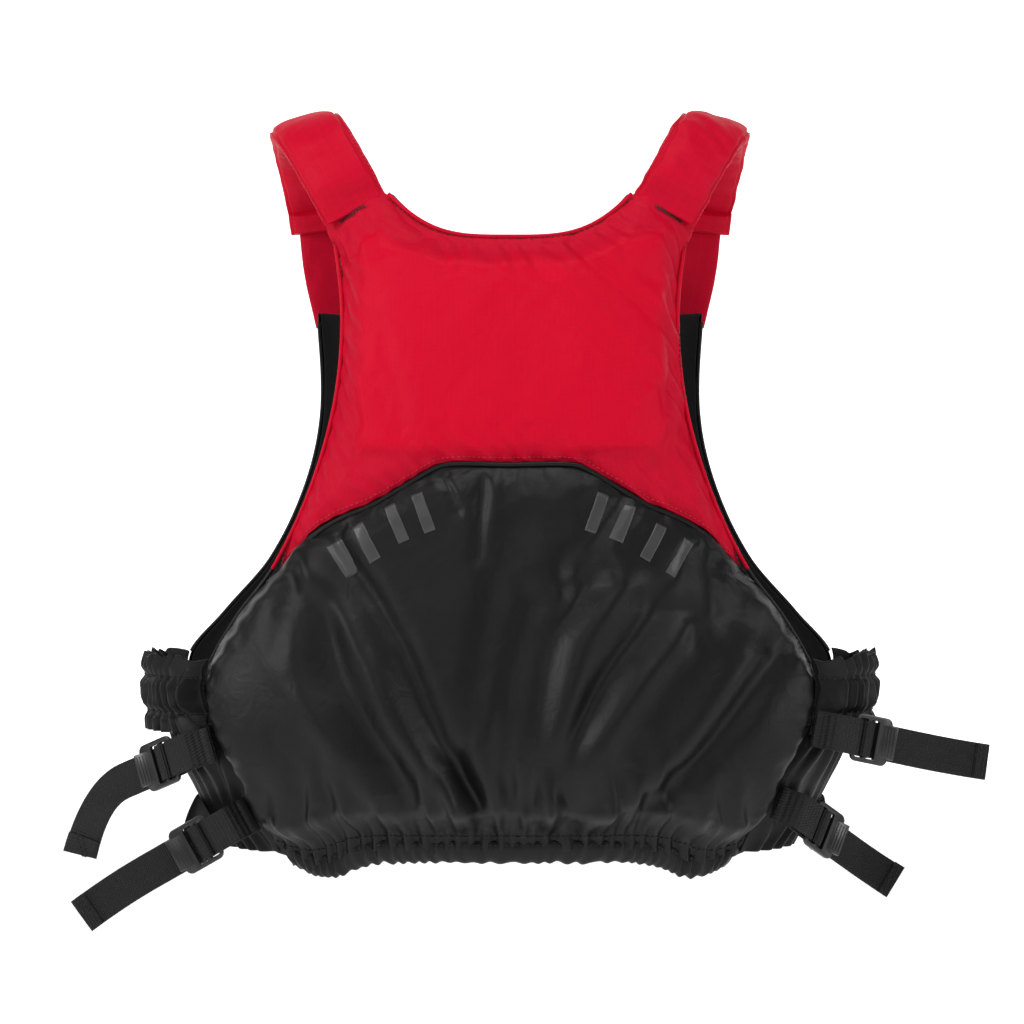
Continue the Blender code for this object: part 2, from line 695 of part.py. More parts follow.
def build_zip(parts, cutters):
    """Zip tapes, teeth, bottom box, slider and puller on the straight front."""
    middle = FRONT_DEPTH + ZIP_LEVEL
    half_teeth = ZIP_TEETH_THICKNESS / 2.0
    half_tape = ZIP_TAPE_THICKNESS / 2.0
    for side, word in ((-1, "left"), (1, "right")):

        def place_teeth(s, t, w, side=side):
            share = (s * -side + 1.0) / 2.0
            x = side * (ZIP_TEETH_INNER + (ZIP_TEETH_OUTER - ZIP_TEETH_INNER) * share)
            z = ZIP_BOTTOM + (ZIP_TOP - ZIP_BOTTOM) * (t + 1.0) / 2.0
            return Vector((x, middle + half_teeth + 2.0 * half_teeth * w, z))

        def place_tape(s, t, w, side=side):
            share = (s * -side + 1.0) / 2.0
            inner = ZIP_TEETH_OUTER + GAP
            x = inner + (ZIP_TAPE_OUTER - inner) * share
            z = ZIP_BOTTOM + (ZIP_TOP - ZIP_BOTTOM) * (t + 1.0) / 2.0
            surface = body_point(front_angle(side * x, z), z, ZIP_LEVEL + half_tape * (1.0 + 2.0 * w))
            return surface

        slab("zip_teeth_" + word, BLACK_PLASTIC, 1, 8, place_teeth, parts)
        slab("zip_tape_" + word, BLACK_WEBBING, 3, 8, place_tape, parts)
    low = (-SLIDER_HALF_WIDTH, middle - half_teeth, ZIP_BOTTOM - GAP - BOX_HEIGHT)
    high = (SLIDER_HALF_WIDTH, middle + half_teeth, ZIP_BOTTOM - GAP)
    add_object("zip_bottom_box", box_mesh("zip_bottom_box", low, high), BLACK_PLASTIC, parts)
    build_slider(middle, half_teeth, parts, cutters)
    build_pull(middle + half_teeth + GAP + SLIDER_PLATE + PULL_PIN_LIFT, parts, cutters)


def build_slider(middle, half_teeth, parts, cutters):
    """Slider: two plates joined by a thin post between the rows of teeth, and two ears with a pin."""
    top = SLIDER_TOP
    bottom = SLIDER_TOP - SLIDER_LENGTH
    front_low = middle + half_teeth + GAP
    back_high = middle - half_teeth - GAP
    plate = box_mesh(
        "zip_slider", (-SLIDER_HALF_WIDTH, front_low, bottom), (SLIDER_HALF_WIDTH, front_low + SLIDER_PLATE, top)
    )
    slider = add_object("zip_slider", plate, BLACK_PLASTIC, parts)
    rear = box_mesh(
        "slider_rear_plate", (-SLIDER_HALF_WIDTH, back_high - SLIDER_PLATE, bottom), (SLIDER_HALF_WIDTH, back_high, top)
    )
    combine(slider, rear, "UNION", cutters)
    post = box_mesh(
        "slider_post",
        (-SLIDER_POST / 2.0, back_high - SLIDER_PLATE / 2.0, top - 0.005),
        (SLIDER_POST / 2.0, front_low + SLIDER_PLATE / 2.0, top - 0.001),
    )
    combine(slider, post, "UNION", cutters)
    pin_y = front_low + SLIDER_PLATE + PULL_PIN_LIFT
    pin_z = pull_height()
    inner = PULL_WIDTH / 2.0 + GAP
    for side, word in ((-1, "left"), (1, "right")):
        edges = sorted((side * inner, side * (inner + EAR_THICKNESS)))
        ear = box_mesh(
            "slider_ear_" + word,
            (edges[0], front_low + SLIDER_PLATE / 2.0, pin_z - 0.002),
            (edges[1], front_low + SLIDER_PLATE + EAR_HEIGHT, pin_z + 0.002),
        )
        combine(slider, ear, "UNION", cutters)
    reach = inner + EAR_THICKNESS / 2.0
    pin = cylinder_mesh("slider_pin", PULL_PIN_RADIUS, -reach, reach, pin_y, pin_z, 12)
    combine(slider, pin, "UNION", cutters)


def pull_height():
    """Height of the puller's pin."""
    return SLIDER_TOP - SLIDER_LENGTH * 0.35


def build_pull(pin_y, parts, cutters):
    """Puller: an eye around the slider's pin and a plate that hangs from it, with its origin on the pin."""
    half = PULL_WIDTH / 2.0
    pull = add_object(
        "zip_pull", cylinder_mesh("zip_pull", PULL_EYE_RADIUS, -half, half, 0.0, 0.0, 16), BLACK_PLASTIC, parts
    )
    pull.location = (0.0, pin_y, pull_height())
    bpy.context.view_layer.update()
    plate = box_mesh(
        "pull_plate",
        (-half, -PULL_THICKNESS / 2.0, -PULL_LENGTH),
        (half, PULL_THICKNESS / 2.0, -PULL_PIN_RADIUS - 2.0 * GAP),
    )
    combine(pull, plate, "UNION", cutters)
    hole = cylinder_mesh("pull_hole", PULL_PIN_RADIUS + GAP, -half * 1.5, half * 1.5, 0.0, 0.0, 12)
    combine(pull, hole, "DIFFERENCE", cutters)


def adjuster_frame(side, height, loop_length, slope, yaw):
    """World matrix of an adjuster: X along the buckle's bar, Y along the strap, Z away from the vest."""
    x = side * (profile(BACK_EDGE, height) + SEAM_GAP / 2.0)
    anchor = body_point(back_angle(x, height), height)
    along = Vector((side * math.cos(slope) * math.cos(yaw), math.cos(slope) * math.sin(yaw), -math.sin(slope)))
    outward = Vector((side * math.sin(yaw), -math.cos(yaw), 0.0))
    across = along.cross(outward).normalized()
    outward = across.cross(along).normalized()
    origin = anchor + outward * STAND_OFF + along * loop_length
    rotation = Matrix((across, along, outward)).transposed().to_4x4()
    return Matrix.Translation(origin) @ rotation


def local_slab(name, finish, columns, rows, frames_place, matrix, collection):
    """A slab whose place() is written in an adjuster's own frame."""
    return slab(name, finish, columns, rows, lambda s, t, w: matrix @ frames_place(s, t, w), collection)


def loop_place(loop_length):
    """Make a place() for the doubled anchor loop that runs from the seam round the buckle's bar and back."""
    straight = loop_length - LOOP_STRAIGHT

    def centre(share):
        """Centre line (along, out) and its outward direction, share from -1 above to 1 below."""
        leg = abs(share)
        sign = 1.0 if share < 0 else -1.0
        if leg < 0.4:
            turn = (1.0 - leg / 0.4) * math.pi / 2.0
            return math.sin(turn) * LOOP_RADIUS, sign * math.cos(turn) * LOOP_RADIUS, turn, sign
        run = (leg - 0.4) / 0.6
        along = -loop_length * run
        sewn = smooth_step((-along - LOOP_STRAIGHT) / straight)
        meet = -LOOP_SEWN + sign * (WEB_THICKNESS / 2.0 + GAP)
        return along, sign * LOOP_RADIUS * (1.0 - sewn) + meet * sewn, 0.0, sign

    def place(s, t, w):
        along, out, turn, sign = centre(t)
        push = WEB_THICKNESS * (w + 0.5)
        return Vector((WEB_HALF * s, along + math.sin(turn) * push, out + sign * math.cos(turn) * push))

    return place


def buckle_outline(curve, half_width, start, end, radius, corner_steps):
    """Add a rounded rectangle to a flat curve."""
    spline = curve.splines.new("POLY")
    corners = (
        (half_width - radius, end - radius, 0.0), (-half_width + radius, end - radius, math.pi / 2.0),
        (-half_width + radius, start + radius, math.pi), (half_width - radius, start + radius, math.pi * 1.5),
    )
    points = []
    for centre_x, centre_y, first in corners:
        for step in range(corner_steps + 1):
            turn = first + math.pi / 2.0 * step / corner_steps
            points.append((centre_x + radius * math.cos(turn), centre_y + radius * math.sin(turn)))
    spline.points.add(len(points) - 1)
    for target, (x, y) in zip(spline.points, points):
        target.co = (x, y, 0.0, 1.0)
    spline.use_cyclic_u = True


def build_buckle(name, matrix, parts, cutters):
    """Ladder-lock buckle: a rounded frame with two slots and a raised thumb tab, hinged on its anchor bar."""
    curve = bpy.data.curves.new(name + "_outline", "CURVE")
    curve.dimensions = "2D"
    curve.fill_mode = "BOTH"
    curve.extrude = BUCKLE_THICKNESS / 2.0
    buckle_outline(curve, BUCKLE_HALF_WIDTH, BUCKLE_START, BUCKLE_END, BUCKLE_CORNER, 3)
    for start, end in SLOTS:
        buckle_outline(curve, SLOT_HALF_WIDTH, start, end, SLOT_CORNER, 1)
    buckle = mesh_from_curve(name, BLACK_PLASTIC, curve, matrix, parts)
    bpy.context.view_layer.update()
    tab = box_mesh(
        name + "_tab", (-TAB_HALF_WIDTH, 0.0, -TAB_THICKNESS), (TAB_HALF_WIDTH, TAB_LENGTH, 0.0)
    )
    lift = Matrix.Translation((0.0, SLOTS[1][1] + 0.0022, BUCKLE_THICKNESS / 2.0 - 0.0002))
    tab.transform(lift @ Matrix.Rotation(TAB_TILT, 4, "X"))
    combine(buckle, tab, "UNION", cutters)


def tail_place(length, matrix, droop):
    """Make a world place() for a free strap end: straight through the buckle, then drooping, hemmed at its end."""
    origin = matrix @ Vector((0.0, 0.0, TAIL_LEVEL))
    across = (matrix.to_3x3() @ Vector((1.0, 0.0, 0.0))).normalized()
    along = (matrix.to_3x3() @ Vector((0.0, 1.0, 0.0))).normalized()
    sag = Vector(droop)

    def centre(distance):
        beyond = max(0.0, distance - TAIL_STRAIGHT) / (length - TAIL_STRAIGHT)
        return origin + along * distance + sag * beyond * beyond

    def place(s, t, w):
        distance = TAIL_START + (length - TAIL_START) * (t + 1.0) / 2.0
        point = centre(distance)
        tangent = (centre(distance + 0.0005) - centre(distance - 0.0005)).normalized()
        side = (across - tangent * across.dot(tangent)).normalized()
        normal = side.cross(tangent)
        thickness = WEB_THICKNESS
        if distance > length - TAIL_HEM:
            thickness = WEB_THICKNESS * 2.0
        return point + side * WEB_HALF * s + normal * thickness * (w + 0.5)

    return place


def load_place(side, matrix):
    """Make a place() for the strap that runs from under the buckle round the side to the front panel."""
    start = matrix @ Vector((0.0, LOAD_START, LOAD_LEVEL))
    leave = matrix @ Vector((0.0, LOAD_START + 0.012, LOAD_LEVEL - LOAD_DROP))
    across = matrix.to_3x3() @ Vector((1.0, 0.0, 0.0))
    z = max(leave.z, LOAD_LOWEST)
    end = abs(front_angle(profile(FRONT_EDGE, z) + SEAM_GAP, z))
    facing = math.copysign(1.0, across.z)
    route = [start, leave]
    sides = [across, across]
    first = max(1.45, abs(math.atan2(abs(leave.x), -leave.y)) + 0.25)
    for share in (0.0, 0.5, 1.0):
        angle = first + (end - first) * share
        route.append(body_point(side * angle, z, LOAD_LIFT))
        upward = body_point(side * angle, z + WEB_HALF, LOAD_LIFT) - body_point(side * angle, z - WEB_HALF, LOAD_LIFT)
        sides.append(upward.normalized() * facing)
    frames = route_frames([tuple(p) for p in route], [tuple(p) for p in sides], 12)
    return strip_place(frames, WEB_HALF, WEB_THICKNESS)


def build_adjusters(parts, cutters):
    """Anchor loop, buckle, load strap and tail of each of the four adjusters."""
    for name, side, height, loop_length, slope, yaw, tail_end, droop in ADJUSTERS:
        matrix = adjuster_frame(side, height, loop_length, slope, yaw)
        local_slab("anchor_loop_" + name, BLACK_WEBBING, 1, 14, loop_place(loop_length), matrix, parts)
        build_buckle("buckle_" + name, matrix, parts, cutters)
        slab("strap_tail_" + name, BLACK_WEBBING, 1, 14, tail_place(tail_end, matrix, droop), parts)
        slab("load_strap_" + name, BLACK_WEBBING, 1, 12, load_place(side, matrix), parts)


def main():
    """Build every sub-part of the vest."""
    clear_scene()
    parts = new_collection(NAME)
    cutters = new_collection(NAME + "_cutters")
    build_back(parts)
    build_piping(parts)
    build_hems(parts)
    build_fronts(parts)
    build_sides(parts)
    build_shoulders(parts)
    build_bindings(parts)
    build_zip(parts, cutters)
    build_adjusters(parts, cutters)


main()
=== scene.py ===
"""The looks of a foam life jacket: sewn nylon covers, webbing adjusters, straps and a front zip.

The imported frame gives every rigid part, joint and size. Each class below makes one sub-assembly around it.
"""

from __future__ import annotations

import logging
import math
from dataclasses import dataclass
from enum import Enum
from functools import cached_property
from typing import Callable, Sequence

import bmesh
import bpy
from mathutils import Matrix, Vector, noise
from mathutils.bvhtree import BVHTree


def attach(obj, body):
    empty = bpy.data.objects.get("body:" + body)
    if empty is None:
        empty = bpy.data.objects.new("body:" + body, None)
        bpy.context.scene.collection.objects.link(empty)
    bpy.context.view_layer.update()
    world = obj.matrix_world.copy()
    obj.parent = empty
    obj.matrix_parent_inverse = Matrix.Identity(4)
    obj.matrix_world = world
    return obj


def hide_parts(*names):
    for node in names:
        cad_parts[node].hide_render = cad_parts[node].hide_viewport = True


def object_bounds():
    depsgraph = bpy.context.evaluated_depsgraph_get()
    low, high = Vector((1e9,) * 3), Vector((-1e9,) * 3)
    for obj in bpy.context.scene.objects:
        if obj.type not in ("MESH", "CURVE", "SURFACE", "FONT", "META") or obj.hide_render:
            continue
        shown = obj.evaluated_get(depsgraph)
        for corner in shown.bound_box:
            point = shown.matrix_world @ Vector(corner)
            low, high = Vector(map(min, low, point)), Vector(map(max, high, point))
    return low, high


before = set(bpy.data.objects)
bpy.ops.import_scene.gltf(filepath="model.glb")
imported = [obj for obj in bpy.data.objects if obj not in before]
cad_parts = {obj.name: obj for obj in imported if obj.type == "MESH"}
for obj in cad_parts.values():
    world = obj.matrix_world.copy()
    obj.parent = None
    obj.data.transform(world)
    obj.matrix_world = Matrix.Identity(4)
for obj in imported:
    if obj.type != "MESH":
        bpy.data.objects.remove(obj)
CAD_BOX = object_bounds()

LOG = logging.getLogger("life_jacket")
VEST = "vest"
THREAD_OFFSET = 0.0005

Place = Callable[[float, float], Vector]
Stations = Sequence[tuple[float, float]]
Colour = tuple[float, float, float]


def smooth_step(value: float) -> float:
    """Ease a value from 0 to 1, clamped at both ends.

    Args:
        value: any number.

    Returns:
        0 below 0, 1 above 1 and a smooth curve between.
    """
    value = min(1.0, max(0.0, value))
    return value * value * (3.0 - 2.0 * value)


def read_stations(stations: Stations, where: float) -> float:
    """Read a smooth curve through stations.

    Args:
        stations: (position, value) pairs in any order.
        where: the position to read at, held within the first and last.

    Returns:
        The value there.
    """
    points = sorted(stations)
    where = min(points[-1][0], max(points[0][0], where))
    last = len(points) - 1
    index = max(i for i in range(last) if points[i][0] <= where)
    (x0, y0), (x1, y1) = points[index], points[index + 1]
    before, after = points[max(0, index - 1)], points[min(last, index + 2)]
    slope0 = (y1 - before[1]) / (x1 - before[0])
    slope1 = (after[1] - y0) / (after[0] - x0)
    span = x1 - x0
    s = (where - x0) / span
    rise = (2 * s**3 - 3 * s**2 + 1) * y0 + (3 * s**2 - 2 * s**3) * y1
    return rise + (s**3 - 2 * s**2 + s) * span * slope0 + (s**3 - s**2) * span * slope1


def mirror_side(side: int) -> str:
    """Name the wearer's side: -1 is left and 1 is right.

    Args:
        side: -1 or 1.

    Returns:
        The side's name.
    """
    return "left" if side < 0 else "right"


class Route:
    """A smooth line through points, with a cross direction that turns along it."""

    def __init__(self, points: Sequence[Vector], across: Sequence[Vector]) -> None:
        """Keep the points and measure how far along each lies.

        Args:
            points: the places the line passes through.
            across: one cross direction for each point.
        """
        walked = [0.0]
        for before, after in zip(points, points[1:]):
            walked.append(walked[-1] + (after - before).length)
        self.length = walked[-1]
        self._shares = [distance / self.length for distance in walked]
        self._points = list(points)
        self._across = list(across)

    def _read(self, values: list[Vector], share: float) -> Vector:
        """Read a smooth vector at a share of the length."""
        axes = ([(at, value[axis]) for at, value in zip(self._shares, values)] for axis in range(3))
        return Vector([read_stations(stations, share) for stations in axes])

    def at(self, share: float) -> tuple[Vector, Vector, Vector, Vector]:
        """Read the line.

        Args:
            share: how far along, from 0 to 1.

        Returns:
            The point, the direction, the cross direction and the outward normal.
        """
        ahead = self._read(self._points, min(1.0, share + 0.01))
        tangent = (ahead - self._read(self._points, max(0.0, share - 0.01))).normalized()
        side = self._read(self._across, share)
        side = (side - tangent * side.dot(tangent)).normalized()
        return self._read(self._points, share), tangent, side, side.cross(tangent)


@dataclass(frozen=True)
class VestForm:
    """The vest's outer surface as it sits on the wearer, and the outlines of its panels."""

    half_width: Stations = (
        (0.0, 0.150), (-0.135, 0.160), (-0.25, 0.192), (-0.36, 0.244), (-0.43, 0.244), (-0.515, 0.200),
    )
    back_depth: Stations = ((0.0, 0.070), (-0.15, 0.098), (-0.36, 0.118), (-0.43, 0.122), (-0.515, 0.104))
    front_depth: float = 0.105
    roundness: float = 2.5
    back_edge: Stations = (
        (-0.055, 0.131), (-0.077, 0.126), (-0.135, 0.118), (-0.196, 0.122), (-0.257, 0.139),
        (-0.311, 0.165), (-0.345, 0.191), (-0.386, 0.213), (-0.418, 0.207), (-0.462, 0.184), (-0.515, 0.160),
    )
    front_edge: Stations = (
        (-0.120, 0.144), (-0.196, 0.141), (-0.250, 0.152), (-0.305, 0.178),
        (-0.345, 0.212), (-0.376, 0.236), (-0.420, 0.228), (-0.515, 0.178),
    )
    piped_seam: Stations = (
        (0.0, -0.240), (0.33, -0.240), (0.42, -0.245), (0.66, -0.267), (0.85, -0.282), (1.0, -0.311),
    )
    neck_centre: float = -0.088
    neck_corner: float = -0.055
    neck_corner_share: float = 0.675
    neck_curve: float = 3.5
    strap_seam_outer: float = -0.077
    hem_top: float = -0.492
    hem_dip: float = 0.012
    hem_dip_at: float = 0.84
    hem_dip_width: float = 0.16
    edge_drop: float = 0.010
    edge_margin: float = 0.020
    sandwich: float = 0.030
    cloth: float = 0.0012

    def point(self, angle: float, z: float, offset: float = 0.0) -> Vector:
        """Point on the outer surface: angle 0 is mid back and pi is mid front.

        Args:
            angle: where round the vest.
            z: the height.
            offset: how far outside the surface.

        Returns:
            The point.
        """
        width = read_stations(self.half_width, z) + offset
        sine, cosine = math.sin(angle), math.cos(angle)
        depth = (read_stations(self.back_depth, z) if cosine > 0 else self.front_depth) + offset
        power = 2.0 / self.roundness
        x = width * math.copysign(abs(sine) ** power, sine)
        return Vector((x, -depth * math.copysign(abs(cosine) ** power, cosine), z))

    def back_angle(self, x: float, z: float) -> float:
        """Angle on the back at a distance x from its middle.

        Args:
            x: distance, negative to the left.
            z: the height.

        Returns:
            The angle in radians.
        """
        share = min(1.0, abs(x) / read_stations(self.half_width, z))
        return math.copysign(math.asin(share ** (self.roundness / 2.0)), x)

    def front_angle(self, x: float, z: float) -> float:
        """Angle on the front at a distance x from its middle.

        Args:
            x: distance, negative to the left.
            z: the height.

        Returns:
            The angle in radians.
        """
        return math.copysign(math.pi, x) - self.back_angle(x, z)

    def back_at(self, u: float, z: float, offset: float) -> Vector:
        """Point on the back at a share u of its half width.

        Args:
            u: the share, negative to the left.
            z: the height.
            offset: how far outside the surface.

        Returns:
            The point.
        """
        return self.point(self.back_angle(u * self.back_half(z), z), z, offset)

    def back_half(self, z: float) -> float:
        """Half width of the back panel at a height.

        Args:
            z: the height.

        Returns:
            The half width.
        """
        return read_stations(self.back_edge, z)

    def front_half(self, z: float) -> float:
        """Half width of the front panels at a height.

        Args:
            z: the height.

        Returns:
            The half width.
        """
        return read_stations(self.front_edge, z)

    def neckline(self, u: float) -> float:
        """Height of the back's top edge at a share u of its half width.

        Args:
            u: the share, negative to the left.

        Returns:
            The height.
        """
        share = abs(u)
        if share < self.neck_corner_share:
            rise = (share / self.neck_corner_share) ** self.neck_curve
            return self.neck_centre + (self.neck_corner - self.neck_centre) * rise
        out = (share - self.neck_corner_share) / (1.0 - self.neck_corner_share)
        return self.neck_corner + (self.strap_seam_outer - self.neck_corner) * out

    def piping(self, u: float) -> float:
        """Height of the piped seam at a share u of the back's half width.

        Args:
            u: the share, negative to the left.

        Returns:
            The height.
        """
        return read_stations(self.piped_seam, abs(u))

    def hem(self, u: float) -> float:
        """Height of the back hem's seam, which dips near its two ends.

        Args:
            u: the share, negative to the left.

        Returns:
            The height.
        """
        away = (abs(u) - self.hem_dip_at) / self.hem_dip_width
        return self.hem_top - self.hem_dip * math.exp(-(away**2))

    def ease(self, distance: float) -> float:
        """0 on a sewn edge and 1 inside the padded field.

        Args:
            distance: how far in from the edge.

        Returns:
            The eased share.
        """
        return smooth_step(distance / self.edge_margin)


FORM = VestForm()


def rough(x: float, y: float, z: float) -> float:
    """Smooth repeatable noise from -1 to 1.

    Args:
        x: first coordinate.
        y: second coordinate.
        z: third coordinate.

    Returns:
        The noise there.
    """
    return noise.noise(Vector((x, y, z)))


@dataclass(frozen=True)
class Fold:
    """One fold of a cover, followed from its lower end to its upper end."""

    stations: Stations
    height: float
    width_low: float
    width_high: float
    taper: float = 0.03

    def lift(self, x: float, z: float) -> float:
        """Read how far the fold raises the cloth.

        Args:
            x: place across the vest.
            z: height.

        Returns:
            The lift in metres, below zero in the fold's valley.
        """
        low, high = min(s[0] for s in self.stations), max(s[0] for s in self.stations)
        if z < low - self.taper or z > high + self.taper:
            return 0.0
        share = (z - low) / (high - low)
        width = self.width_low + (self.width_high - self.width_low) * min(1.0, max(0.0, share))
        off = x - read_stations(self.stations, z)
        fade = smooth_step((z - low + self.taper) / self.taper)
        fade *= smooth_step((high + self.taper - z) / self.taper)
        ridge = math.exp(-(((off - width) / (0.9 * width)) ** 2))
        valley = math.exp(-(((off + 0.15 * width) / (0.75 * width)) ** 2))
        return self.height * fade * (0.75 * ridge - valley)


class Wire:
    """A socket of a material, with arithmetic that adds Math nodes."""

    def __init__(self, maker: "Maker", socket: bpy.types.NodeSocket) -> None:
        """Wrap a socket of a maker's material."""
        self.maker = maker
        self.socket = socket

    def _math(self, operation: str, *values: "Wire | float") -> "Wire":
        """Add one Math node."""
        links = {i: value for i, value in enumerate(values)}
        return self.maker.add("ShaderNodeMath", {"operation": operation}, links)

    def __add__(self, other: "Wire | float") -> "Wire":
        """Sum."""
        return self._math("ADD", self, other)

    __radd__ = __add__

    def __sub__(self, other: "Wire | float") -> "Wire":
        """Difference."""
        return self._math("SUBTRACT", self, other)

    def __rsub__(self, other: "Wire | float") -> "Wire":
        """Difference from a number."""
        return self._math("SUBTRACT", other, self)

    def __mul__(self, other: "Wire | float") -> "Wire":
        """Product."""
        return self._math("MULTIPLY", self, other)

    __rmul__ = __mul__

    def sine(self) -> "Wire":
        """Sine."""
        return self._math("SINE", self)

    def absolute(self) -> "Wire":
        """Size without its sign."""
        return self._math("ABSOLUTE", self)

    def above(self, limit: float) -> "Wire":
        """1 where the value is over a limit.

        Args:
            limit: the limit.

        Returns:
            The new value.
        """
        return self._math("GREATER_THAN", self, limit)


class Maker:
    """Builds one node material around a Principled shader."""

    def __init__(self, name: str) -> None:
        """Make the empty material."""
        self.material = bpy.data.materials.new(name)
        self.material.use_nodes = True
        self.tree = self.material.node_tree
        self.shader = self.tree.nodes["Principled BSDF"]

    def add(
        self, kind: str, settings: dict | None = None, values: dict | None = None, out: int | str = 0
    ) -> Wire:
        """Add a node.

        Args:
            kind: the node's type.
            settings: its properties, set first.
            values: values or links of its inputs, by name or number.
            out: which output to return.

        Returns:
            The wrapped output.
        """
        node = self.tree.nodes.new(kind)
        for key, value in (settings or {}).items():
            setattr(node, key, value)
        for key, value in (values or {}).items():
            self._fill(node.inputs[key], value)
        return Wire(self, node.outputs[out])

    def _fill(self, target: bpy.types.NodeSocket, value: object) -> None:
        """Link or set one input."""
        if isinstance(value, Wire):
            self.tree.links.new(value.socket, target)
        else:
            target.default_value = value

    def surface(self, name: str, value: object) -> None:
        """Fill one input of the shader.

        Args:
            name: the input's name.
            value: a number, a colour or a wire.
        """
        self._fill(self.shader.inputs[name], value)

    def place(self) -> Wire:
        """Object coordinates."""
        return self.add("ShaderNodeTexCoord", out="Object")

    def flat(self) -> tuple[Wire, Wire]:
        """The piece's own UV map in metres, as its two parts."""
        uv = self.add("ShaderNodeUVMap", {"uv_map": "UVMap"})
        parts = self.tree.nodes.new("ShaderNodeSeparateXYZ")
        self.tree.links.new(uv.socket, parts.inputs[0])
        return Wire(self, parts.outputs[0]), Wire(self, parts.outputs[1])

    def noise(self, scale: float, detail: float = 2.0, at: Wire | None = None) -> Wire:
        """Noise on object coordinates.

        Args:
            scale: how fine it is.
            detail: how many layers it has.
            at: other coordinates to read it on.

        Returns:
            The noise.
        """
        where = at or self.place()
        return self.add("ShaderNodeTexNoise", None, {"Vector": where, "Scale": scale, "Detail": detail})

    def blend(self, share: Wire, low: object, high: object) -> Wire:
        """Mix two colours by a share.

        Args:
            share: 0 gives the first and 1 the second.
            low: the first colour.
            high: the second colour.

        Returns:
            The mixed colour.
        """
        node = self.tree.nodes.new("ShaderNodeMix")
        node.data_type = "RGBA"
        self._fill(node.inputs[0], share)
        self._fill(node.inputs[6], low)
        self._fill(node.inputs[7], high)
        return Wire(self, node.outputs[2])

    def bump(self, height: Wire, strength: float, distance: float, below: Wire | None = None) -> Wire:
        """Add a bump on top of another.

        Args:
            height: the relief.
            strength: how strongly it shows.
            distance: how deep it is in metres.
            below: the bump under it.

        Returns:
            The new normal.
        """
        values: dict = {"Height": height, "Strength": strength, "Distance": distance}
        if below is not None:
            values["Normal"] = below
        return self.add("ShaderNodeBump", None, values)


def shade(colour: Colour, share: float) -> tuple[float, float, float, float]:
    """A colour made lighter or darker.

    Args:
        colour: red, green and blue.
        share: over 1 is lighter and under 1 is darker.

    Returns:
        The colour with an alpha of 1.
    """
    return (min(1.0, colour[0] * share), min(1.0, colour[1] * share), min(1.0, colour[2] * share), 1.0)


@dataclass(frozen=True)
class Cloth:
    """Coated nylon: a fine plain weave, faint rip-stop lines and small creases."""

    name: str
    slot: str
    colour: Colour
    margin: Colour
    roughness: float = 0.45
    specular: float = 0.12
    weave: float = 0.0009
    grid: float = 0.0052
    crease: float = 0.35

    def build(self) -> bpy.types.Material:
        """Make the cloth's material."""
        maker = Maker(self.name)
        across, along = maker.flat()
        turn = math.tau / self.weave
        threads = (across * turn).sine() * (along * turn).sine()
        lines = (across * (math.pi / self.grid)).sine().absolute()
        rows = (along * (math.pi / self.grid)).sine().absolute()
        ripstop = lines.above(0.985) + rows.above(0.985)
        cloudy = maker.noise(22.0, 3.0)
        fine = maker.noise(900.0, 2.0)
        field = maker.add("ShaderNodeAttribute", {"attribute_name": "field"}, out="Fac")
        tone = maker.blend(field, shade(self.margin, 1.0), shade(self.colour, 1.0))
        tone = maker.blend(cloudy * 0.30, tone, shade(self.colour, 0.72))
        tone = maker.blend(ripstop * 0.10, tone, shade(self.colour, 1.5))
        tone = maker.blend(fine * 0.12, tone, shade(self.colour, 0.6))
        maker.surface("Base Color", tone)
        maker.surface("Roughness", cloudy * 0.12 + (self.roughness - 0.06) + fine * 0.05)
        creases = maker.add("ShaderNodeTexNoise", None, {
            "Vector": maker.place(), "Scale": 55.0, "Detail": 4.0, "Distortion": 1.2,
        })
        normal = maker.bump(creases, self.crease, 0.0016)
        normal = maker.bump(threads * 0.5 + ripstop * 0.4, 0.22, 0.00022, normal)
        maker.surface("Normal", normal)
        maker.surface("Specular IOR Level", self.specular)
        return maker.material


@dataclass(frozen=True)
class Webbing:
    """Ribbed woven strap: rows of ribs along it, a flat selvedge and dusty fibres."""

    name: str
    slot: str
    colour: Colour
    rib: float = 0.0016
    half: float = 0.0125
    selvedge: float = 0.0016
    twill: float = 0.0021

    def build(self) -> bpy.types.Material:
        """Make the webbing's material."""
        maker = Maker(self.name)
        across, along = maker.flat()
        ribs = (along * (math.tau / self.rib)).sine()
        twill = ((across + along) * (math.tau / self.twill)).sine()
        edge = across.absolute().above(self.half - self.selvedge)
        fibre = maker.noise(1400.0, 2.0)
        dusty = maker.noise(60.0, 3.0)
        weave = (ribs * 0.6 + twill * 0.4) * (1.0 - edge * 0.6)
        tone = maker.blend(weave * 0.35 + 0.35, shade(self.colour, 0.55), shade(self.colour, 1.9))
        tone = maker.blend(fibre * 0.4, tone, shade(self.colour, 2.6))
        tone = maker.blend(edge * 0.35, tone, shade(self.colour, 0.6))
        maker.surface("Base Color", tone)
        maker.surface("Roughness", dusty * 0.15 + 0.55)
        normal = maker.bump(weave, 0.75, 0.0005)
        maker.surface("Normal", maker.bump(fibre, 0.3, 0.0003, normal))
        maker.surface("Specular IOR Level", 0.3)
        return maker.material


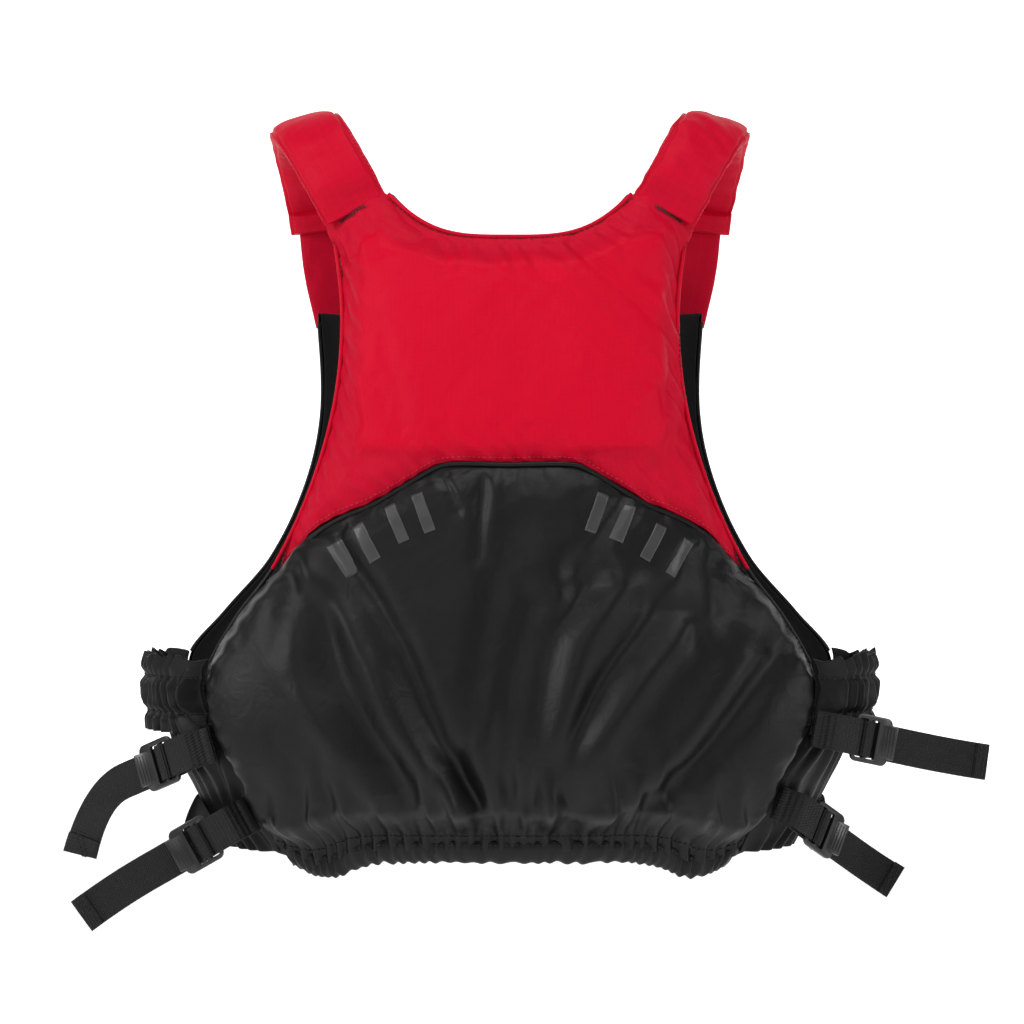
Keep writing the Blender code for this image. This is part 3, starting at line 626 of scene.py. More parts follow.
@dataclass(frozen=True)
class Moulded:
    """Injection-moulded plastic with a faint spark-eroded grain and a painted highlight on its sharp edges.
    """

    name: str
    slot: str
    colour: Colour
    roughness: float = 0.34

    def build(self) -> bpy.types.Material:
        """Make the plastic's material."""
        maker = Maker(self.name)
        grain = maker.noise(1800.0, 2.0)
        smear = maker.noise(70.0, 4.0)
        # painted highlight: sharp convex edges, found by pointiness, are coloured lighter where light would
        # glint on them
        painted_edge_highlight = maker.add("ShaderNodeNewGeometry", out="Pointiness").above(0.53)
        tone = maker.blend(smear * 0.4, shade(self.colour, 0.9), shade(self.colour, 1.5))
        maker.surface("Base Color", maker.blend(painted_edge_highlight * 0.3, tone, shade(self.colour, 2.4)))
        maker.surface("Roughness", smear * 0.16 + (self.roughness - 0.06))
        maker.surface("Normal", maker.bump(grain, 0.16, 0.00012))
        maker.surface("Coat Weight", 0.12)
        return maker.material


@dataclass(frozen=True)
class Foamed:
    """Closed-cell foam with a skin of small cells."""

    name: str
    slot: str
    colour: Colour

    def build(self) -> bpy.types.Material:
        """Make the foam's material."""
        maker = Maker(self.name)
        cells = maker.add("ShaderNodeTexVoronoi", None, {"Vector": maker.place(), "Scale": 700.0})
        cloudy = maker.noise(35.0, 3.0)
        speckled = maker.blend(cells * 0.5, shade(self.colour, 0.8), shade(self.colour, 1.1))
        maker.surface("Base Color", speckled)
        maker.surface("Roughness", cloudy * 0.1 + 0.8)
        maker.surface("Normal", maker.bump(cells, 0.4, 0.0004))
        return maker.material


@dataclass(frozen=True)
class Thread:
    """Twisted sewing thread."""

    name: str
    slot: str
    colour: Colour

    def build(self) -> bpy.types.Material:
        """Make the thread's material."""
        maker = Maker(self.name)
        twist = maker.noise(2600.0, 1.0)
        maker.surface("Base Color", maker.blend(twist, shade(self.colour, 0.6), shade(self.colour, 1.5)))
        maker.surface("Roughness", twist * 0.2 + 0.5)
        maker.surface("Normal", maker.bump(twist, 0.4, 0.0002))
        return maker.material


class Finish(Enum):
    """Every finish of the vest."""

    RED = Cloth("coated_red_nylon", "red_nylon", (0.62, 0.001, 0.022), (0.53, 0.003, 0.024), 0.5, 0.08)
    BLACK = Cloth(
        "coated_black_nylon", "black_nylon", (0.0050, 0.0050, 0.0053), (0.0046, 0.0046, 0.005), 0.39, 0.23
    )
    LINING = Cloth(
        "lining_cloth", "black_lining", (0.012, 0.012, 0.013), (0.010, 0.010, 0.011), 0.7, 0.2, 0.0016, 0.009
    )
    PRINT = Moulded("satin_print", "black_nylon", (0.028, 0.028, 0.029), 0.5)
    WEBBING = Webbing("woven_webbing", "black_webbing", (0.0052, 0.0052, 0.0056))
    PLASTIC = Moulded("moulded_plastic", "black_plastic", (0.011, 0.011, 0.012))
    FOAM = Foamed("closed_cell_foam", "buoyancy_foam", (0.55, 0.56, 0.55))
    BLACK_THREAD = Thread("black_thread", "black_webbing", (0.008, 0.008, 0.008))
    RED_THREAD = Thread("red_thread", "red_nylon", (0.52, 0.010, 0.035))

    def material(self) -> bpy.types.Material:
        """The finish's material, made once."""
        return bpy.data.materials.get(self.value.name) or self.value.build()


def dress(piece: bpy.types.Object, finish: Finish, body: str, *nodes: str) -> bpy.types.Object:
    """Give a piece its finish and body, and let it stand for its CAD nodes.

    Args:
        piece: the new piece.
        finish: its finish.
        body: the CAD body it moves with.
        nodes: the CAD nodes it replaces.

    Returns:
        The piece.
    """
    piece.data.materials.clear()
    piece.data.materials.append(finish.material())
    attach(piece, body)
    if nodes:
        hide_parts(*nodes)
    LOG.info("%s on %s, %d faces", piece.name, body, len(piece.data.polygons))
    return piece


def link(name: str, bm: bmesh.types.BMesh) -> bpy.types.Object:
    """Turn a bmesh into a smooth-shaded object of the scene.

    Args:
        name: the object's name.
        bm: the mesh, which is freed.

    Returns:
        The new object.
    """
    mesh = bpy.data.meshes.new(name)
    bm.to_mesh(mesh)
    bm.free()
    mesh.shade_smooth()
    piece = bpy.data.objects.new(name, mesh)
    bpy.context.scene.collection.objects.link(piece)
    return piece


def sheet_mesh(
    name: str, columns: int, rows: int, size: tuple[float, float], place: Place
) -> bpy.types.Object:
    """A sheet from a grid, with a UV map in metres.

    Args:
        name: the object's name.
        columns: faces across.
        rows: faces along.
        size: rough width and length in metres, for the weave.
        place: puts s and t, each from -1 to 1, in the vest's frame.

    Returns:
        The open sheet, with its face outwards.
    """
    bm = bmesh.new()
    bmesh.ops.create_grid(bm, x_segments=columns, y_segments=rows, size=1.0)
    layer = bm.loops.layers.uv.new("UVMap")
    for face in bm.faces:
        for loop in face.loops:
            loop[layer].uv = (loop.vert.co.x * size[0] / 2.0, loop.vert.co.y * size[1] / 2.0)
    for vert in bm.verts:
        vert.co = place(vert.co.x, vert.co.y)
    return link(name, bm)


def thicken(
    piece: bpy.types.Object, thickness: float, smooth: int = 1, offset: float = -1.0
) -> bpy.types.Object:
    """Give a sheet its wall and smooth it with live modifiers.

    Args:
        piece: the sheet.
        thickness: how thick its wall is.
        smooth: levels of smoothing, 0 for none.
        offset: -1 puts the wall inside the sheet and 0 centres it.

    Returns:
        The same piece.
    """
    wall = piece.modifiers.new("wall", "SOLIDIFY")
    wall.thickness = thickness
    wall.offset = offset
    if smooth:
        soft = piece.modifiers.new("soft", "SUBSURF")
        soft.levels = smooth
        soft.render_levels = smooth
    return piece


def mark_field(piece: bpy.types.Object, values: list[float]) -> None:
    """Store how far each point is inside the padded field.

    Args:
        piece: the piece.
        values: one value for each of its points.
    """
    store = piece.data.attributes.new("field", "FLOAT", "POINT")
    store.data.foreach_set("value", values)


def relax(piece: bpy.types.Object, pinned: Sequence[int], growth: float, pressure: float, cap: float) -> None:
    """Let a sheet settle as cloth that is cut slightly too big, held at its seams.

    Args:
        piece: the sheet.
        pinned: points sewn down.
        growth: how much longer its threads are than the sheet is drawn.
        pressure: how hard the padding pushes from inside.
        cap: how far a point may move.
    """
    start = [v.co.copy() for v in piece.data.vertices]
    group = piece.vertex_groups.new(name="sewn")
    group.add(list(pinned), 1.0, "REPLACE")
    cloth = piece.modifiers.new("settle", "CLOTH")
    cloth.settings.vertex_group_mass = "sewn"
    cloth.settings.effector_weights.gravity = 0.0
    cloth.settings.use_pressure = True
    cloth.settings.uniform_pressure_force = pressure
    cloth.settings.shrink_min = -growth
    cloth.settings.mass = 0.15
    cloth.settings.quality = 4
    cloth.settings.tension_stiffness = 12.0
    cloth.settings.compression_stiffness = 12.0
    cloth.settings.shear_stiffness = 4.0
    cloth.settings.bending_stiffness = 0.02
    cloth.settings.air_damping = 3.0
    for number in range(1, 21):
        bpy.context.scene.frame_set(number)
    settled = piece.evaluated_get(bpy.context.evaluated_depsgraph_get()).data
    moved = [v.co.copy() for v in settled.vertices]
    piece.modifiers.remove(cloth)
    piece.vertex_groups.remove(group)
    for vert, before, after in zip(piece.data.vertices, start, moved):
        step = after - before
        if step.length > cap:
            step = step.normalized() * cap
        vert.co = before + step
    bpy.context.scene.frame_set(1)


class Surface:
    """A finished cover that stitches are laid on."""

    def __init__(self, *pieces: bpy.types.Object) -> None:
        """Read the covers' final surface."""
        points: list[Vector] = []
        faces: list[tuple[int, ...]] = []
        for piece in pieces:
            soft = piece.modifiers.new("reading", "SUBSURF")
            soft.levels = soft.render_levels = 1
            mesh = piece.evaluated_get(bpy.context.evaluated_depsgraph_get()).to_mesh()
            first = len(points)
            points.extend(v.co.copy() for v in mesh.vertices)
            faces.extend(tuple(first + i for i in p.vertices) for p in mesh.polygons)
            piece.modifiers.remove(soft)
        self._tree = BVHTree.FromPolygons(points, faces)

    def drop(self, point: Vector) -> tuple[Vector, Vector]:
        """Nearest place on the cover, and its normal.

        Args:
            point: where to look from.

        Returns:
            The place and the normal.
        """
        found, normal, _, _ = self._tree.find_nearest(point)
        return found, normal


@dataclass
class Seam:
    """A row of stitches laid on a cover."""

    name: str
    finish: Finish
    length: float = 0.0026
    gap: float = 0.0010
    radius: float = 0.00038
    body: str = VEST

    def sew(self, line: Sequence[Vector], surface: Surface, zigzag: float = 0.0) -> bpy.types.Object:
        """Sew along a line.

        Args:
            line: places close to the cover, near each other.
            surface: the cover.
            zigzag: half width of a zigzag, or 0 for a straight row.

        Returns:
            The stitches as one piece.
        """
        bm = bmesh.new()
        dense = self._even(line)
        for index, (point, along) in enumerate(dense):
            place, normal = surface.drop(point)
            side = normal.cross(along).normalized()
            if zigzag:
                swing = 1.0 if index % 2 else -1.0
                along = (along * self.length + side * swing * zigzag * 2.0).normalized()
                side = normal.cross(along).normalized()
            along = side.cross(normal)
            turn = Matrix((along, side, normal)).transposed().to_4x4()
            half = self.length * 0.5 + zigzag
            size = Matrix.Diagonal((half, self.radius, self.radius * 0.9, 1.0))
            matrix = Matrix.Translation(place + normal * THREAD_OFFSET) @ turn @ size
            bmesh.ops.create_uvsphere(bm, u_segments=6, v_segments=4, radius=1.0, matrix=matrix)
        piece = link(self.name, bm)
        return dress(piece, self.finish, self.body)

    def _even(self, line: Sequence[Vector]) -> list[tuple[Vector, Vector]]:
        """Spread stitch centres evenly along a line."""
        step = self.length + self.gap
        result: list[tuple[Vector, Vector]] = []
        left = step / 2.0
        for start, end in zip(line, line[1:]):
            span = (end - start).length
            along = (end - start).normalized()
            while left < span:
                result.append((start + along * left, along))
                left += step
            left -= span
        return result


@dataclass
class BackPanels:
    """The red upper cover, the black lower cover that balloons over the hem, their piping and the lining."""

    columns: int = 150
    upper_rows: int = 96
    lower_rows: int = 130
    overhang: float = 0.006
    seam_drop: float = 0.004
    balloon: float = 0.009
    strap_meet: float = 0.0065
    insert_left: float = -0.102
    insert_right: float = 0.104
    insert_top: float = -0.088
    insert_low: float = -0.231
    insert_rise: float = 0.0040
    insert_soft: float = 0.011
    pucker: float = 0.0021
    pucker_length: float = 0.015
    gather: float = 0.0024
    gather_length: float = 0.0095
    bars: tuple[tuple[float, float, float], ...] = (
        (0.058, -0.273, 0.35), (0.076, -0.280, 0.40), (0.096, -0.293, 0.50), (0.114, -0.303, 0.55),
    )
    bar_size: tuple[float, float] = (0.008, 0.027)
    piping_radius: float = 0.0017
    slack_folds: tuple[Fold, ...] = (
        Fold(((-0.475, -0.017), (-0.427, -0.048), (-0.369, -0.075), (-0.325, -0.102), (-0.291, -0.129)),
             0.0092, -0.013, -0.020),
        Fold(
            ((-0.461, -0.075), (-0.441, -0.082), (-0.386, -0.116), (-0.335, -0.129)), 0.0062, -0.015, -0.025
        ),
        Fold(((-0.434, -0.031), (-0.393, -0.020), (-0.305, -0.003)), 0.0032, 0.013, 0.018),
        Fold(((-0.471, 0.007), (-0.441, 0.0), (-0.386, 0.003), (-0.335, 0.017)), 0.0070, 0.012, 0.018),
        Fold(((-0.461, 0.017), (-0.413, 0.020), (-0.359, 0.031), (-0.322, 0.054)), 0.0084, 0.012, 0.017),
        Fold(((-0.481, 0.041), (-0.441, 0.037), (-0.393, 0.061), (-0.339, 0.102)), 0.0076, 0.012, 0.019),
        Fold(((-0.475, 0.082), (-0.427, 0.129), (-0.369, 0.177)), 0.0072, -0.016, -0.022),
        Fold(((-0.318, 0.040), (-0.262, 0.078)), 0.0022, 0.012, 0.010, 0.02),
        Fold(((-0.352, 0.122), (-0.311, 0.116)), 0.0024, 0.010, 0.010, 0.02),
        Fold(((-0.301, -0.020), (-0.254, -0.017)), 0.0024, 0.007, 0.006, 0.012),
        Fold(((-0.271, -0.034), (-0.250, -0.044)), 0.0020, 0.006, 0.005, 0.010),
        Fold(((-0.360, -0.150), (-0.300, -0.140)), 0.0026, 0.012, 0.012, 0.025),
    )
    chest_folds: tuple[Fold, ...] = (
        Fold(((-0.189, 0.107), (-0.164, 0.072), (-0.117, 0.023)), 0.0030, 0.012, 0.014, 0.03),
        Fold(((-0.166, 0.116), (-0.144, 0.102), (-0.098, 0.050)), 0.0026, 0.011, 0.011, 0.03),
        Fold(((-0.214, -0.070), (-0.130, -0.088)), 0.0018, 0.012, 0.012, 0.03),
    )

    def build(self) -> Surface:
        """Make and dress the back's covers, piping, stitching and lining."""
        upper = self._cover("upper_back_cover", self.upper_rows, self._neck, self._seam_above, self._upper)
        lower = self._cover("lower_back_cover", self.lower_rows, self._seam_below, self._hem, self._lower)
        dress(upper, Finish.RED, VEST, "back_upper_shell")
        dress(lower, Finish.BLACK, VEST, "back_lower_shell")
        surface = Surface(upper, lower)
        self._stitch(surface)
        self._print(surface)
        for piece in (upper, lower):
            thicken(piece, FORM.cloth)
        self._lining()
        self._piping()
        return surface

    def _print(self, surface: Surface) -> None:
        """Plain satin bars printed on the black cover below the piping."""
        bm = bmesh.new()
        for side in (-1, 1):
            for x, z, lean in self.bars:
                turn = Matrix.Rotation(side * lean, 3, "Y")
                made = bmesh.ops.create_grid(bm, x_segments=8, y_segments=16, size=0.5)
                for vert in made["verts"]:
                    flat = turn @ Vector((vert.co.x * self.bar_size[0], 0.0, vert.co.y * self.bar_size[1]))
                    height = z + flat.z
                    across = side * x + flat.x
                    start = FORM.point(FORM.back_angle(across, height), height, 0.0)
                    found, normal = surface.drop(start)
                    vert.co = found + normal * 0.0004
        piece = link("printed_bars", bm)
        thicken(piece, 0.0004, 0)
        dress(piece, Finish.PRINT, VEST)

    def _neck(self, u: float) -> float:
        """Top edge of the red cover."""
        return FORM.neckline(u) + self.overhang * 0.8

    def _seam_above(self, u: float) -> float:
        """Seam edge of the red cover."""
        return FORM.piping(u) + self.piping_radius * 0.6

    def _seam_below(self, u: float) -> float:
        """Seam edge of the black cover."""
        return FORM.piping(u) - self.piping_radius * 0.6

    def _hem(self, u: float) -> float:
        """Seam between the black cover and the hem casing."""
        return FORM.hem(u) - 0.010

    def _side(self, u: float, z: float) -> float:
        """Distance from the nearest side edge."""
        return (1.0 - abs(u)) * FORM.back_half(z)

    def _upper(self, u: float, x: float, z: float) -> tuple[float, float]:
        """How high the red cover stands, and how far inside the foam insert it is."""
        side, neck, seam = self._side(u, z), FORM.neckline(u) - z, z - FORM.piping(u)
        ease = FORM.ease(side) * FORM.ease(neck)
        base = -FORM.edge_drop * (1.0 - ease) - self.seam_drop * (1.0 - FORM.ease(seam))
        base += self.strap_meet * smooth_step((abs(u) - 0.62) / 0.10) * (1.0 - FORM.ease(neck))
        inside = min(
            x - self.insert_left, self.insert_right - x, self.insert_top + self._sag(x) - z,
            z - max(self.insert_low, FORM.piping(u) + 0.008),
        )
        inside += 0.004 * rough(x * 40, 12.0, z * 40)
        field = smooth_step(inside / self.insert_soft + 0.5)
        drift = 3.0 * rough(x * 30, 0.0, z * 30)
        wave = math.sin(math.tau * (z * 0.8 + x * 0.9) / self.pucker_length + drift)
        near = min(side, max(neck, 0.0), max(seam, 0.0))
        band = smooth_step(near / 0.004) * (1.0 - smooth_step((near - 0.012) / 0.016))
        base += self.pucker * wave * band * (0.5 + 0.5 * rough(x * 45, 7.0, z * 45))
        base += sum(fold.lift(x, z) for fold in self.chest_folds)
        base += 0.0016 * rough(x * 16, 3.0, z * 16) + 0.0006 * rough(x * 60, 5.0, z * 60) * ease
        return base + self.insert_rise * (field - 0.4), field

    def _sag(self, x: float) -> float:
        """The insert's top follows the neckline down in the middle."""
        return 0.018 * smooth_step((abs(x) - 0.04) / 0.05) - 0.012

    def _lower(self, u: float, x: float, z: float) -> tuple[float, float]:
        """How high the black cover stands, with its folds and gathers."""
        side, hem, seam = self._side(u, z), z - FORM.hem(u), FORM.piping(u) - z
        ease = FORM.ease(side) * FORM.ease(hem)
        balloon = self.balloon * smooth_step(seam / 0.2)
        base = balloon * ease - FORM.edge_drop * (1.0 - ease) - self.seam_drop * (1.0 - FORM.ease(seam))
        held = smooth_step(side / 0.02) * smooth_step(seam / 0.012)
        base += sum(fold.lift(x, z) for fold in self.slack_folds) * held * smooth_step((hem + 0.004) / 0.02)
        phase = 8.0 * rough(x * 24, 1.0, 0.0) + 2.0 * rough(x * 60, z * 30, 2.0)
        slim = math.sin(math.tau * x / self.gather_length + phase)
        wide = math.sin(math.tau * x / (2.4 * self.gather_length) + 0.6 * phase + z * 30)
        base += self.gather * slim * (1.0 - smooth_step((hem - 0.004) / 0.026)) * smooth_step(side / 0.012)
        fading = 1.0 - smooth_step((hem - 0.012) / 0.06)
        base += 1.2 * self.gather * wide * smooth_step(hem / 0.012) * fading * held
        puckers = math.sin(math.tau * z / 0.013 + 3.0 * rough(x * 20, z * 30, 4.0))
        beside_seam = 1.0 - smooth_step((side - 0.008) / 0.02)
        base += 0.0008 * puckers * smooth_step((side - 0.004) / 0.006) * beside_seam
        base += 0.0024 * rough(x * 14, 9.0, z * 11) * held + 0.0007 * rough(x * 55, 11.0, z * 40) * held
        return base, 1.0

    def _cover(
        self, name: str, rows: int, top: Callable[[float], float], low: Callable[[float], float],
        height: Callable[[float, float, float], tuple[float, float]],
    ) -> bpy.types.Object:
        """Make one cover between two lines.

        Args:
            name: the piece's name.
            rows: faces down it.
            top: its upper edge.
            low: its lower edge.
            height: gives its height over the form and its field value.

        Returns:
            The settled cover.
        """
        fields: list[float] = []

        def place(s: float, t: float) -> Vector:
            u = math.sin(s * math.pi / 2.0) * 0.3 + s * 0.7
            z = low(u) + (top(u) - low(u)) * (t + 1.0) / 2.0
            x = u * (FORM.back_half(z) + self.overhang)
            lift, field = height(u, x, z)
            fields.append(field)
            return FORM.point(FORM.back_angle(x, z), z, lift)

        piece = sheet_mesh(name, self.columns, rows, (0.40, 0.30), place)
        edge = [v.index for v in piece.data.vertices if self._on_edge(v.index, rows)]
        relax(piece, edge, 0.012, 2.0, 0.003)
        mark_field(piece, fields)
        return piece

    def _on_edge(self, index: int, rows: int) -> bool:
        """Whether a grid point is on the outline."""
        column, row = index % (self.columns + 1), index // (self.columns + 1)
        return column in (0, self.columns) or row in (0, rows)

    def _stitch(self, surface: Surface) -> None:
        """Topstitching along the neck, arm holes, piped seam and side seams."""
        def across(height: Callable[[float], float], low: float, high: float) -> list[Vector]:
            return [self._on_cover(low + (high - low) * i / 160, height(low + (high - low) * i / 160))
                    for i in range(161)]

        black, red = Finish.BLACK_THREAD, Finish.RED_THREAD
        Seam("neck_topstitch", black).sew(across(lambda u: FORM.neckline(u) + 0.0022, -0.66, 0.66), surface)
        Seam("piping_topstitch", red).sew(across(lambda u: FORM.piping(u) + 0.005, -0.98, 0.98), surface)
        Seam("hem_topstitch", black).sew(across(lambda u: FORM.hem(u) + 0.0005, -0.97, 0.97), surface)
        for side in (-1, 1):
            word = mirror_side(side)
            line = [self._on_cover(side * (1.0 - 0.0008 / FORM.back_half(z)), z)
                    for z in (-0.084 - 0.40 * i / 200 for i in range(201))]
            Seam("side_topstitch_" + word, black).sew(line, surface)
            shares = [0.76 + 0.16 * i / 30 for i in range(31)]
            tack = [self._on_cover(side * share, FORM.neckline(share) - 0.0005) for share in shares]
            Seam("strap_bartack_" + word, black, 0.0012, 0.0).sew(tack, surface, 0.0013)

    def _on_cover(self, u: float, z: float) -> Vector:
        """The drawn cover's place at a share of its width and a height."""
        x = u * (FORM.back_half(z) + self.overhang)
        height = self._upper if z > FORM.piping(u) else self._lower
        return FORM.point(FORM.back_angle(x, z), z, height(u, x, z)[0])

    def _lining(self) -> None:
        """The plain lining against the wearer's back."""
        def place(s: float, t: float) -> Vector:
            z = FORM.hem(s) + (self._neck(s) - FORM.hem(s)) * (t + 1.0) / 2.0
            x = s * (FORM.back_half(z) + self.overhang * 0.8)
            ease = FORM.ease(self._side(s, z)) * FORM.ease(FORM.neckline(s) - z) * FORM.ease(z - FORM.hem(s))
            puckers = 0.0008 * rough(x * 40, z * 40, 20.0)
            shut = FORM.sandwich - FORM.edge_drop - 0.0035 - self.seam_drop
            level = -FORM.sandwich + FORM.cloth + shut * (1.0 - ease) + puckers
            return FORM.point(FORM.back_angle(x, z), z, level)

        piece = sheet_mesh("back_inner_lining", 90, 100, (0.40, 0.44), place)
        dress(thicken(piece, FORM.cloth), Finish.LINING, VEST, "back_lining")

    def _piping(self) -> None:
        """Round piping that stands up between the two covers."""
        line = []
        for step in range(97):
            u = step / 48.0 - 1.0
            z = FORM.piping(u)
            drop = FORM.edge_drop * (1.0 - FORM.ease(self._side(u, z)))
            line.append(FORM.back_at(u, z, 0.0006 - self.seam_drop - drop + 0.0003 * rough(u * 20, 0, 0)))
        piece = cord_mesh("piping", line, self.piping_radius, 10)
        dress(piece, Finish.BLACK, VEST, "back_piping")


def cord_mesh(name: str, line: Sequence[Vector], radius: float, sides: int) -> bpy.types.Object:
    """A round closed cord along a line.

    Args:
        name: the object's name.
        line: the cord's centre line.
        radius: its radius.
        sides: points round it.

    Returns:
        The cord.
    """
    curve = bpy.data.curves.new(name + "_line", "CURVE")
    curve.dimensions = "3D"
    curve.bevel_depth = radius
    curve.bevel_resolution = max(1, sides // 4)
    curve.use_fill_caps = True
    spline = curve.splines.new("POLY")
    spline.points.add(len(line) - 1)
    for target, point in zip(spline.points, line):
        target.co = (*point, 1.0)
    return from_curve(name, curve, Matrix.Identity(4))


def from_curve(name: str, curve: bpy.types.Curve, matrix: Matrix) -> bpy.types.Object:
    """Turn a curve into a welded piece with a UV map in metres."""
    holder = bpy.data.objects.new(name + "_holder", curve)
    bpy.context.scene.collection.objects.link(holder)
    bpy.context.view_layer.update()
    source = holder.evaluated_get(bpy.context.evaluated_depsgraph_get()).to_mesh()
    bm = bmesh.new()
    bm.from_mesh(source)
    bpy.data.objects.remove(holder)
    bpy.data.curves.remove(curve)
    bmesh.ops.remove_doubles(bm, verts=bm.verts[:], dist=0.00002)
    bmesh.ops.recalc_face_normals(bm, faces=bm.faces[:])
    layer = bm.loops.layers.uv.verify()
    for face in bm.faces:
        for loop in face.loops:
            loop[layer].uv = (loop.vert.co.x, loop.vert.co.z + loop.vert.co.y)
    bm.transform(matrix)
    piece = link(name, bm)
    piece.data.uv_layers[0].name = "UVMap"
    return piece


@dataclass
class Hems:
    """Gathered casings round the bottom, with the elastic inside them."""

    height: float = 0.0165
    depth: float = 0.0085
    gather: float = 0.0016
    gather_length: float = 0.0088
    zip_clear: float = 0.018

    def build(self) -> None:
        """Make the back casing and the two front ones."""
        seam = FORM.back_angle(FORM.back_half(FORM.hem_top), FORM.hem_top)
        start = FORM.front_angle(self.zip_clear, FORM.hem_top)
        front = FORM.front_angle(FORM.front_half(FORM.hem_top), FORM.hem_top)
        self._casing("back_gathered_hem", -seam, seam, 260, self._back_top, "back_hem_casing")
        for side in (-1, 1):
            word = mirror_side(side)
            low, high = sorted((side * front, side * start))
            self._casing("front_gathered_hem_" + word, low, high, 120, lambda angle: FORM.hem_top - 0.002,
                         "front_hem_casing_" + word)
        refinish("back_hem_elastic", Finish.WEBBING)

    def _back_top(self, angle: float) -> float:
        """Top of the back casing at an angle."""
        u = FORM.point(angle, FORM.hem_top).x / FORM.back_half(FORM.hem_top)
        return FORM.hem(u) - 0.002

    def _casing(self, name: str, low: float, high: float, columns: int, top: Callable[[float], float],
                node: str) -> None:
        """A flattened tube of gathered cloth between two angles."""
        reach = abs(FORM.point(high, FORM.hem_top).x - FORM.point(low, FORM.hem_top).x)

        def place(s: float, t: float) -> Vector:
            angle = low + (high - low) * (s + 1.0) / 2.0
            run = s * reach / 2.0
            phase = 9.0 * rough(run * 22, 1.0, 0.0) + 2.0 * rough(run * 80, 2.0, t * 0.6)
            strength = 0.65 + 0.7 * rough(run * 45, 6.0, t)
            wave = math.sin(math.tau * run / self.gather_length + phase) * strength
            slow = rough(run * 70, 4.0, t)
            turn = t * math.pi
            out = math.cos(turn) * self.depth / 2.0
            up = math.sin(turn) * self.height / 2.0
            end = smooth_step((1.0 - abs(s)) * reach / 0.012)
            lift = self.gather * (wave + 0.5 * slow) * (0.4 + 0.6 * end)
            z = top(angle) - self.height / 2.0 + up * (1.0 + 0.10 * slow)
            z += 0.0012 * wave * (0.5 - up / self.height)
            level = -FORM.edge_drop - 0.003 + out * (0.35 + 0.65 * end) + lift * math.cos(turn)
            return FORM.point(angle, z, level)

        piece = sheet_mesh(name, columns, 24, (reach * 1.3, 0.05), place)
        dress(thicken(piece, 0.0008), Finish.BLACK, VEST, node)
        line = [FORM.point(low + (high - low) * i / 300, top(low + (high - low) * i / 300) - 0.0035, -0.008)
                for i in range(301)]
        Seam(name + "_stitch", Finish.BLACK_THREAD).sew(line, Surface(piece))


def refinish(node: str, finish: Finish) -> None:
    """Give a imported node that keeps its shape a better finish.

    Args:
        node: the node's name.
        finish: what it is made of.
    """
    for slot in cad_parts[node].material_slots:
        slot.material = finish.material()
    LOG.info("%s keeps its packed shape", node)


